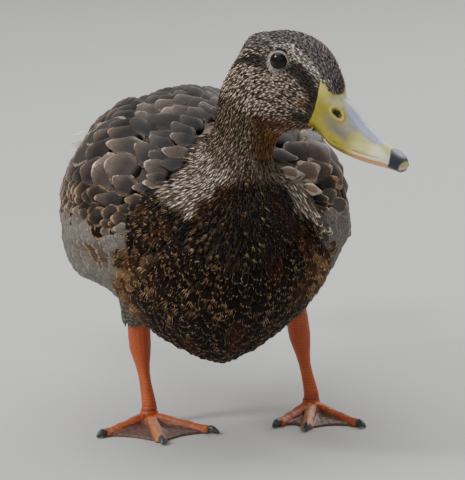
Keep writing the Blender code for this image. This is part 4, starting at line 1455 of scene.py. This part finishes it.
# %% [markdown]
# ## The feather finish
# All feathers share one recipe. The vane's own coordinates run across it and along it, so the fringe
# follows each feather's outline, and the barbs slant away from the shaft. The heart and fringe colours
# come with each feather from the markings. Loose breast feathers break the fringe into strands, and
# flank feathers add vermiculation, the fine wavy cross lines of a drake.

# %% Feather finishes
BARB_STEP = 0.62  # mm between barb lines
WAVE_STEP = 1.5  # mm between the wavy cross lines


def feather_finish(name, roughness=0.6, sheen=0.1, barb=0.14, bump=0.4, tone_spread=0.34, glow=0.0,
                   thread_depth=0.3, side_fringe=1.0, shine=0.1):
    made = Finish(name, roughness, shine)
    made.shader.inputs["Sheen Weight"].default_value = sheen
    made.shader.inputs["Sheen Roughness"].default_value = 0.4
    side, share, _ = made.parts("vane")
    wide, length, _ = made.parts("span")
    fringe, strands, bars = made.parts("marks")
    tone = made.read("tone")
    off_shaft = made.math("ABSOLUTE", side)
    grain = made.less(made.noise(620, 3.0), 0.5)
    down_length = made.times(share, length)
    across = made.times(made.times(side, wide), 0.5)
    from_shaft = made.math("ABSOLUTE", across)

    # Threads run along the barbs, and differ from feather to feather.
    fan = made.plus(side, made.times(share, -0.8), across)
    thread = made.add("ShaderNodeCombineXYZ", {0: made.times(fan, 2.3), 1: made.times(down_length, 0.24),
                                               2: made.times(tone, 40.0)}).outputs[0]
    threads = made.noise(1.0, 2.0, thread)

    # The fringe covers the sides and the tip, and may be torn into strands.
    start = made.less(1.0, fringe)
    edge_side = made.step(made.plus(grain, 0.4, off_shaft), made.less(start, 0.10),
                          made.math("ADD", start, 0.10))
    tip_start = made.plus(fringe, -0.62, 1.0)
    edge_tip = made.step(made.plus(grain, 0.2, share), made.less(tip_start, 0.05),
                         made.math("ADD", tip_start, 0.05))
    edge = made.math("MAXIMUM", made.times(edge_side, side_fringe), edge_tip)
    kept = made.plus(made.less(made.step(threads, 0.47, 0.60), 1.0), strands, 1.0)
    halo = made.times(made.step(made.math("MAXIMUM", off_shaft, share), 0.45, 1.05), glow)
    cover = made.math("MAXIMUM", made.times(edge, kept), halo)
    colour = made.blend(cover, made.read("dark", "Color"), made.read("pale", "Color"))

    # Barbs, wavy lines, tone, grain, threads and shaft make the colour lighter or darker.
    slant = made.less(down_length, from_shaft)
    barbs = made.math("SINE", made.times(slant, 2 * math.pi / BARB_STEP))
    wave = made.plus(made.noise(300, 2.0), 3.4, made.plus(from_shaft, -0.12, down_length))
    lines = made.math("SINE", made.times(wave, 2 * math.pi / WAVE_STEP))
    lines = made.times(made.step(lines, -0.35, 0.55), bars)
    light = made.plus(lines, -0.40, made.plus(barbs, barb * 0.5, 1.0))
    light = made.times(light, made.plus(tone, tone_spread, 1 - tone_spread / 2))
    light = made.times(light, made.plus(grain, 0.5, 1.0))
    light = made.times(light, made.plus(made.step(threads, 0.34, 0.66), thread_depth, 1 - thread_depth / 2))
    shaft = made.less(1.0, made.step(from_shaft, 0.10, 0.28))
    made.colour(made.shade(colour, made.plus(shaft, -0.18, light)))
    made.bump(made.plus(shaft, 0.8, made.times(barbs, 0.35)), bump, 0.12 * MM)
    return made


small_feather = feather_finish("small feathers", 0.75, 0.05, 0.06, 0.2, 0.6)
body_feather = feather_finish("body feathers", 0.65, 0.0, 0.14, 0.4, 0.3, 0.0, 0.8, 0.35)
back_feather = feather_finish("back feathers", 0.5, 0.0, 0.12, 0.35, 1.0, 0.24, 0.3, 1.0, 0.17)
flank_feather = feather_finish("flank feathers", 0.7, 0.0, 0.05, 0.15, 0.12, 0.0, 0.12)
wing_feather = feather_finish("wing feathers", 0.42, 0.03, 0.16, 0.5, 0.2, 0.0, 0.3, 1.0, 0.3)

# %% [markdown]
# ## The coat
# The roots are now shared out among the regions of the coat. Each region is one piece, with a shape
# and sizes of its own, and takes its colours from the markings at each root. A little disorder in
# direction, size and lift keeps the rows from looking printed.

# %% Tables of roots
BODY_FROM, FACE_TO = 55, 58  # runs in mm between which the two coats overlap


def body_zone(points):
    return body_fields(points)[0] > BODY_FROM


def clear_of_bill_and_eye(points, reach, off_eye):
    return (bare_reach(to_head(points)) < reach) & (eye_distance(points) > off_eye)


def face_zone(points):
    return (body_fields(points)[0] < FACE_TO) & clear_of_bill_and_eye(points, 0.3, 4.6)


def roots_where(thrown, keep, length, width, lift, disorder=7, seed=1, spread=0.12):
    """A table of roots; length, width and lift are numbers or arrays for all roots, in mm."""
    points, normals, _, picks = (values[keep] for values in thrown)
    draw = np.random.default_rng(seed)
    dark, pale, marks, fleck = plumage(points)
    table = {"point": points, "up": normals, "lie": lie_on(points, normals, disorder, seed),
             "dark": mixed(dark, pale, np.where(picks, 0.92, 0.0) * fleck),
             "pale": mixed(pale, dark, np.where(picks, 0.0, 0.72) * fleck), "marks": marks,
             "seat": 0.22 * picks * fleck}
    for key, value in (("length", length), ("width", width), ("lift", lift)):
        value = np.broadcast_to(value, len(keep))[keep]
        table[key] = value * draw.uniform(1 - spread, 1 + spread, len(points))
    return table


# %% Coat of the face
face_form = melted(joined_copy("face_form", (skin, bill_upper)), 1.2 * MM, 2)
write_attribute(face_form, "skin_up", normals_of(face_form))
thrown = throw_roots(face_form, face_zone, 12)
keep = clear_of_bill_and_eye(thrown[0], -0.5, 5.2)
length = np.interp(body_fields(thrown[0])[0], (0, 12, 30, 58), (2.3, 2.9, 3.3, 4.2))
length = np.where(eye_distance(thrown[0]) < 9, 1.7, length)
face_roots = roots_where(thrown, keep, length, 1.12 * thrown[2] + 0.15, 0.75, 8, 2)
plant("coat_face", face_roots, "tuft", small_feather, face_form)

# %% Regions of neck and body
NECK_END = 113  # the run in mm where the neck's small feathers give way to the breast's
root_points, root_normals, space, picks = throw_roots(skin, body_zone, 11)
next_space = clear_space(root_points + 9 * MM * lie_on(root_points, root_normals))
size = np.maximum(space, 0.85 * next_space)  # a small feather before large ones reaches as far as they
run, angle, edge_gap, off_spine = body_fields(root_points)
away_y = root_points[:, 1] / MM
ankle_gap = np.minimum(*(ankle_distance(side, root_points) for side in SIDES))
on_thigh = (ankle_gap < 14) & (root_points[:, 2] < 68 * MM)
on_tail = (away_y > 150) & (angle < 90) | (away_y > 176)
feathered = ~on_thigh & ~on_tail
on_back = feathered & (edge_gap < 0) & (off_spine > 23)
on_neck = feathered & ~on_back & (run < NECK_END)
on_breast = feathered & ~on_back & (run >= NECK_END)
on_rump = on_back & (away_y >= 84)
on_flank = on_back & ~on_rump & (wing_angle(root_points, angle) > WING_EDGE_ANGLE - 1)
on_mantle = on_back & ~on_rump & ~on_flank
left_side = root_points[:, 0] > BODY_X
thrown = (root_points, root_normals, space, picks & ~on_back)
print("roots on neck and body:", len(root_points))


# %% Coat of neck and body
def coat(name, keep, shape_name, finish, *sizes):
    plant("coat_" + name, roots_where(thrown, keep, *sizes), shape_name, finish)


neck_length = np.interp(run, (58, 85, 100, NECK_END), (4.4, 4.8, 5.0, 7.0))
neck_length = np.maximum(np.maximum(neck_length, 1.3 * next_space), 2.4 * space)
neck_width = np.maximum(np.where(space > 1.7, 1.3, 0.95) * space + 0.08, 0.28 * next_space)
strands = plumage(root_points)[2][:, 1]
spill = np.random.default_rng(9).random(len(run))
patches = 0.5 * ramp(ruffle(root_points, 0.022, 14), -0.5, 0.8)
off_middle = 1.2 - 0.95 * band(root_points[:, 0] / MM, -12, 34, 10)
wispy = picks & (spill < (0.25 + patches) * off_middle) & (root_normals[:, 2] > -0.6) & (strands > 0.7)
for name, half in (("left", left_side), ("right", ~left_side)):
    coat("neck_" + name, on_neck & half, "tuft", small_feather, neck_length, neck_width, 1.2, 8, 3)
    coat("breast_" + name, on_breast & half, "frayed", body_feather, 3.9 * space, 2.4 * space, 2.4, 10, 4,
         0.22)
    coat("flank_" + name, on_flank & half, "soft", flank_feather, 4.6 * space, 2.9 * space, 1.6, 4, 5)
    coat("back_" + name, on_mantle & half, "broad", back_feather, 3.2 * size, 2.3 * size, 3.0, 7, 6, 0.16)
wisps = roots_where(thrown, (on_breast | on_neck) & wispy, np.maximum(3.1 * space, 4.5),
                    np.maximum(1.8 * space, 1.8), 3.0, 14, 8, 0.25)
wisp_light = np.random.default_rng(10).uniform(0.35, 1.0, len(wisps["point"]))
wisps["dark"] = mixed(wisps["dark"], wisps["pale"], wisp_light)
wisps["pale"] = mixed(wisps["dark"], wisps["pale"], 0.5)
plant("coat_wisps", wisps, "wisp", body_feather)
coat("rump", on_rump, "soft", body_feather, 4.2 * space, 2.5 * space, 2.2, 5, 7)

# %% [markdown]
# ## Long feathers of the wing and tail
# Flight feathers are few and each has its place, so they are listed row by row. A row is given by its first
# and last feather, each as a root and a tip: a distance along the body and an angle about it. A ray
# cast inwards at that angle finds the spot on the skin. Feathers between the two are spaced evenly.

# %% Rows of the wing
skin_faces = [face.vertices[:] for face in skin.data.polygons]
skin_tree = BVHTree.FromPolygons([Vector(point) for point in skin_points], skin_faces)


def spot_on_body(sign, along_y, around):
    """Place and normal where a ray towards the body's middle meets the skin."""
    outward = Vector((sign * math.sin(math.radians(around)), 0, math.cos(math.radians(around))))
    core = Vector((BODY_X, along_y * MM, TRUNK_Z + 0.022 * float(ramp(along_y, 80, 200))))
    place, normal, _, _ = skin_tree.ray_cast(core + outward * 0.3, -outward)
    return np.array(place), np.array(normal)


def table_of(feathers):
    """A table of roots from one row of values for each feather."""
    keys = ("point", "up", "lie", "length", "width", "lift", "seat", "dark", "pale", "marks")
    return {key: np.array(values) for key, values in zip(keys, zip(*feathers))}


def between(first, last, share):
    return np.array(first) * (1 - share) + np.array(last) * share


def wing_rows(rows):
    """Rows are (first root, first tip, last root, last tip, count, width, seat, colours, marks)."""
    feathers = []
    draw = np.random.default_rng(41)
    for root_a, tip_a, root_b, tip_b, count, width, seat, colours, mark in rows:
        for sign in (-1, 1):
            for index in range(count):
                share = index / max(count - 1, 1)
                shake = draw.normal(0, 1, 4) * (0.9, 0.5, 1.6, 0.8)
                start, normal = spot_on_body(sign, *(between(root_a, root_b, share) + shake[:2]))
                end, _ = spot_on_body(sign, *(between(tip_a, tip_b, share) + shake[2:]))
                reach = end - start
                flat = reach - normal * (reach @ normal)
                feathers.append((start, normal, unit(flat), np.linalg.norm(reach) / MM, width, 2.2,
                                 seat + 0.25 * share, *CHART[colours], mark))
    return table_of(feathers)


# Root and tip are given as mm along the body and degrees from the middle of the back.
flight = [
    ((-78, 62), (-44, 68), (-48, 50), (-10, 54), 4, 19, 0.9, "drab", (0.24, 0, 0)),
    ((-96, 54), (-60, 62), (-92, 40), (-54, 46), 3, 20, 0.7, "drab", (0.2, 0, 0)),
    ((-66, 76), (-40, 80), (-50, 60), (-22, 64), 6, 15, 1.0, "brown", (0.2, 0, 0)),
    ((-36, 78), (-6, 82), (-22, 58), (10, 62), 7, 15, 1.1, "brown", (0.18, 0, 0)),
    ((-8, 79), (34, 82), (6, 62), (46, 64), 8, 13, 0.8, "blue", (0.1, 0, 0)),
    ((40, 48), (118, 58), (28, 34), (112, 44), 5, 21, 1.2, "tertial", (0.12, 0, 0)),
    ((98, 58), (178, 62), (84, 26), (188, 24), 7, 15, 0.6, "quill", (0.07, 0, 0)),
]
plant("wing_feathers", wing_rows(flight), "long", wing_feather, slot="flight_feathers")

# %% [markdown]
# ## The tail
# The tail feathers stand out beyond the body, so they need a form of their own to lie on: a broad thin
# sheet, a little roofed, that is thrown away afterwards. Two layers of feathers are spread over it as
# a fan, an upper one that shows and a lower one seen from beneath. The outer ones are white-edged.

# %% Tail form and fan
TAIL_ROOT = (BODY_X / MM, 124.0)
TAIL_ROOT_Z = 0.135  # metres
TAIL_LENGTHS = (100, 130, 145, 154, 178, 202, 216)
TAIL_HEIGHTS = {"upper": (148, 139.6, 140, 140.6, 137.8, 134.4, 132.8),
                "lower": (112, 122, 124.2, 124.6, 128.8, 131.2, 131.6)}
TAIL_ROOF = 0.0026  # mm of fall for each square mm from the middle
SHEET_X, SHEET_Y = np.linspace(-64, 64, 17), np.linspace(100, 240, 29)


def tail_form(name):
    points = []
    for y in SHEET_Y:
        middle = np.interp(y, TAIL_LENGTHS, TAIL_HEIGHTS[name])
        points += [(BODY_X + x * MM, y * MM, (middle - TAIL_ROOF * x**2) * MM) for x in SHEET_X]
    columns = len(SHEET_X)
    faces = [(start, start + 1, start + 1 + columns, start + columns)
             for start in range(len(points) - columns) if start % columns < columns - 1]
    form = mesh_object("tail_form", points, faces)
    sign = 1 if name == "upper" else -1
    write_attribute(form, "skin_up", normals_of(form) * sign)
    return form, sign


def tail_fan(count, spread, reach, width, overlap, sign):
    """Even feathers over a spread in degrees to each side; reach, width and overlap are in mm."""
    feathers = []
    draw = np.random.default_rng(43)
    for index in range(count):
        share = 2 * index / (count - 1) - 1
        turn = math.radians(spread) * share + draw.normal(0, 0.012)
        heading = np.array((math.sin(turn), math.cos(turn), 0.0))
        start = np.array(((TAIL_ROOT[0] + 11 * share) * MM, TAIL_ROOT[1] * MM, TAIL_ROOT_Z))
        outer = abs(share) ** 1.6
        dark = mixed(tint(70, 60, 52), tint(214, 208, 200), ramp(outer, 0.35, 0.9))
        pale = mixed(tint(150, 132, 112), tint(236, 232, 226), ramp(outer, 0.1, 0.5))
        length = reach * (1 - 0.12 * outer) + draw.normal(0, 0.8)
        feathers.append((start, (0, 0, sign), heading, length, width, 0.8, overlap * (1 - abs(share)), dark,
                         pale, (0.16 + 0.2 * outer, 0, 0)))
    return table_of(feathers)


for name in ("upper", "lower"):
    form, sign = tail_form(name)
    fan = tail_fan(18, 23, 89, 15, 2.2, sign)
    plant("tail_" + name, fan, "long", wing_feather, form, "flight_feathers")

# %% [markdown]
# ## Feathered ankles
# The thigh's feathers end in a cuff over the top of the bare shank. To lie on both, they are planted on
# a form that melts thigh and shank together, which is removed once the cuff is made.

# %% Cuffs
CUFF_LOW, CUFF_HIGH = 60.5, 80  # mm above the floor
CUFF_ROOM, CUFF_STRETCH = 1.9 * MM, 1.4


def lie_down(points, normals):
    return flattened(np.tile((0.0, 0.25, -1.0), (len(points), 1)), normals)


for side in SIDES:
    form = melted(joined_copy("cuff_form", (nodes["thigh_" + side], nodes["shank_" + side])), 0.9 * MM, 6)
    push_out(form, -0.9 * ramp(points_of(form)[:, 2] / MM, 60, 66))
    form_points, form_normals = points_of(form), normals_of(form)
    write_attribute(form, "skin_up", form_normals)
    in_cuff = band(form_points[:, 2] / MM, CUFF_LOW, CUFF_HIGH, 0.1) > 0.5
    spots = np.random.default_rng(51).permutation(np.where(in_cuff)[0])
    points, normals = form_points[spots], form_normals[spots]
    count = len(points)
    kept = keep_apart(points, np.full(count, CUFF_ROOM), lie_down(points, normals),
                      np.full(count, CUFF_STRETCH))
    points, normals = points[kept], normals[kept]
    low = fade(points[:, 2] / MM, 61, 70)
    cuff = {"point": points, "up": normals, "lie": lie_down(points, normals), "length": 8.5 - 3.6 * low,
            "width": 4.4 - 1.4 * low, "lift": 1.3 - 0.5 * low}
    for key, value in (("dark", CHART["thigh"][0]), ("pale", CHART["thigh"][1]), ("marks", (0.3, 0.6, 0.0))):
        cuff[key] = np.tile(value, (len(points), 1))
    plant("cuff_" + side, cuff, "soft", body_feather, form)

# %% Clearing the shapes away
for collection in shapes.values():
    for shape in list(collection.objects):
        bpy.data.objects.remove(shape)
    bpy.data.collections.remove(collection)

# %% [markdown]
# ## Handing the pieces over
# Every piece rides on the body of the frame, and the plain solids that it stands for are hidden.

# %% Ride and replace
def hand_over(piece, slot, *replaced):
    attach(piece, "root")
    if replaced:
        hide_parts(*replaced)


hand_over(skin, "body_plumage", *FLESH)
hand_over(bill_upper, "bill", "bill_upper")
hand_over(bill_lower, "bill", "bill_lower")
for side in SIDES:
    hand_over(eyeballs[side], "eye", "eye_" + side)
    hand_over(lids[side], "leg_skin")
    hand_over(legs[side], "leg_skin", "shank_" + side, "foot_" + side, "hind_toe_" + side)
for (toe, side), claw in claws.items():
    hand_over(claw, "claw_horn", f"claw_{toe}_{side}")
for piece, slot in coats:
    hand_over(piece, slot)
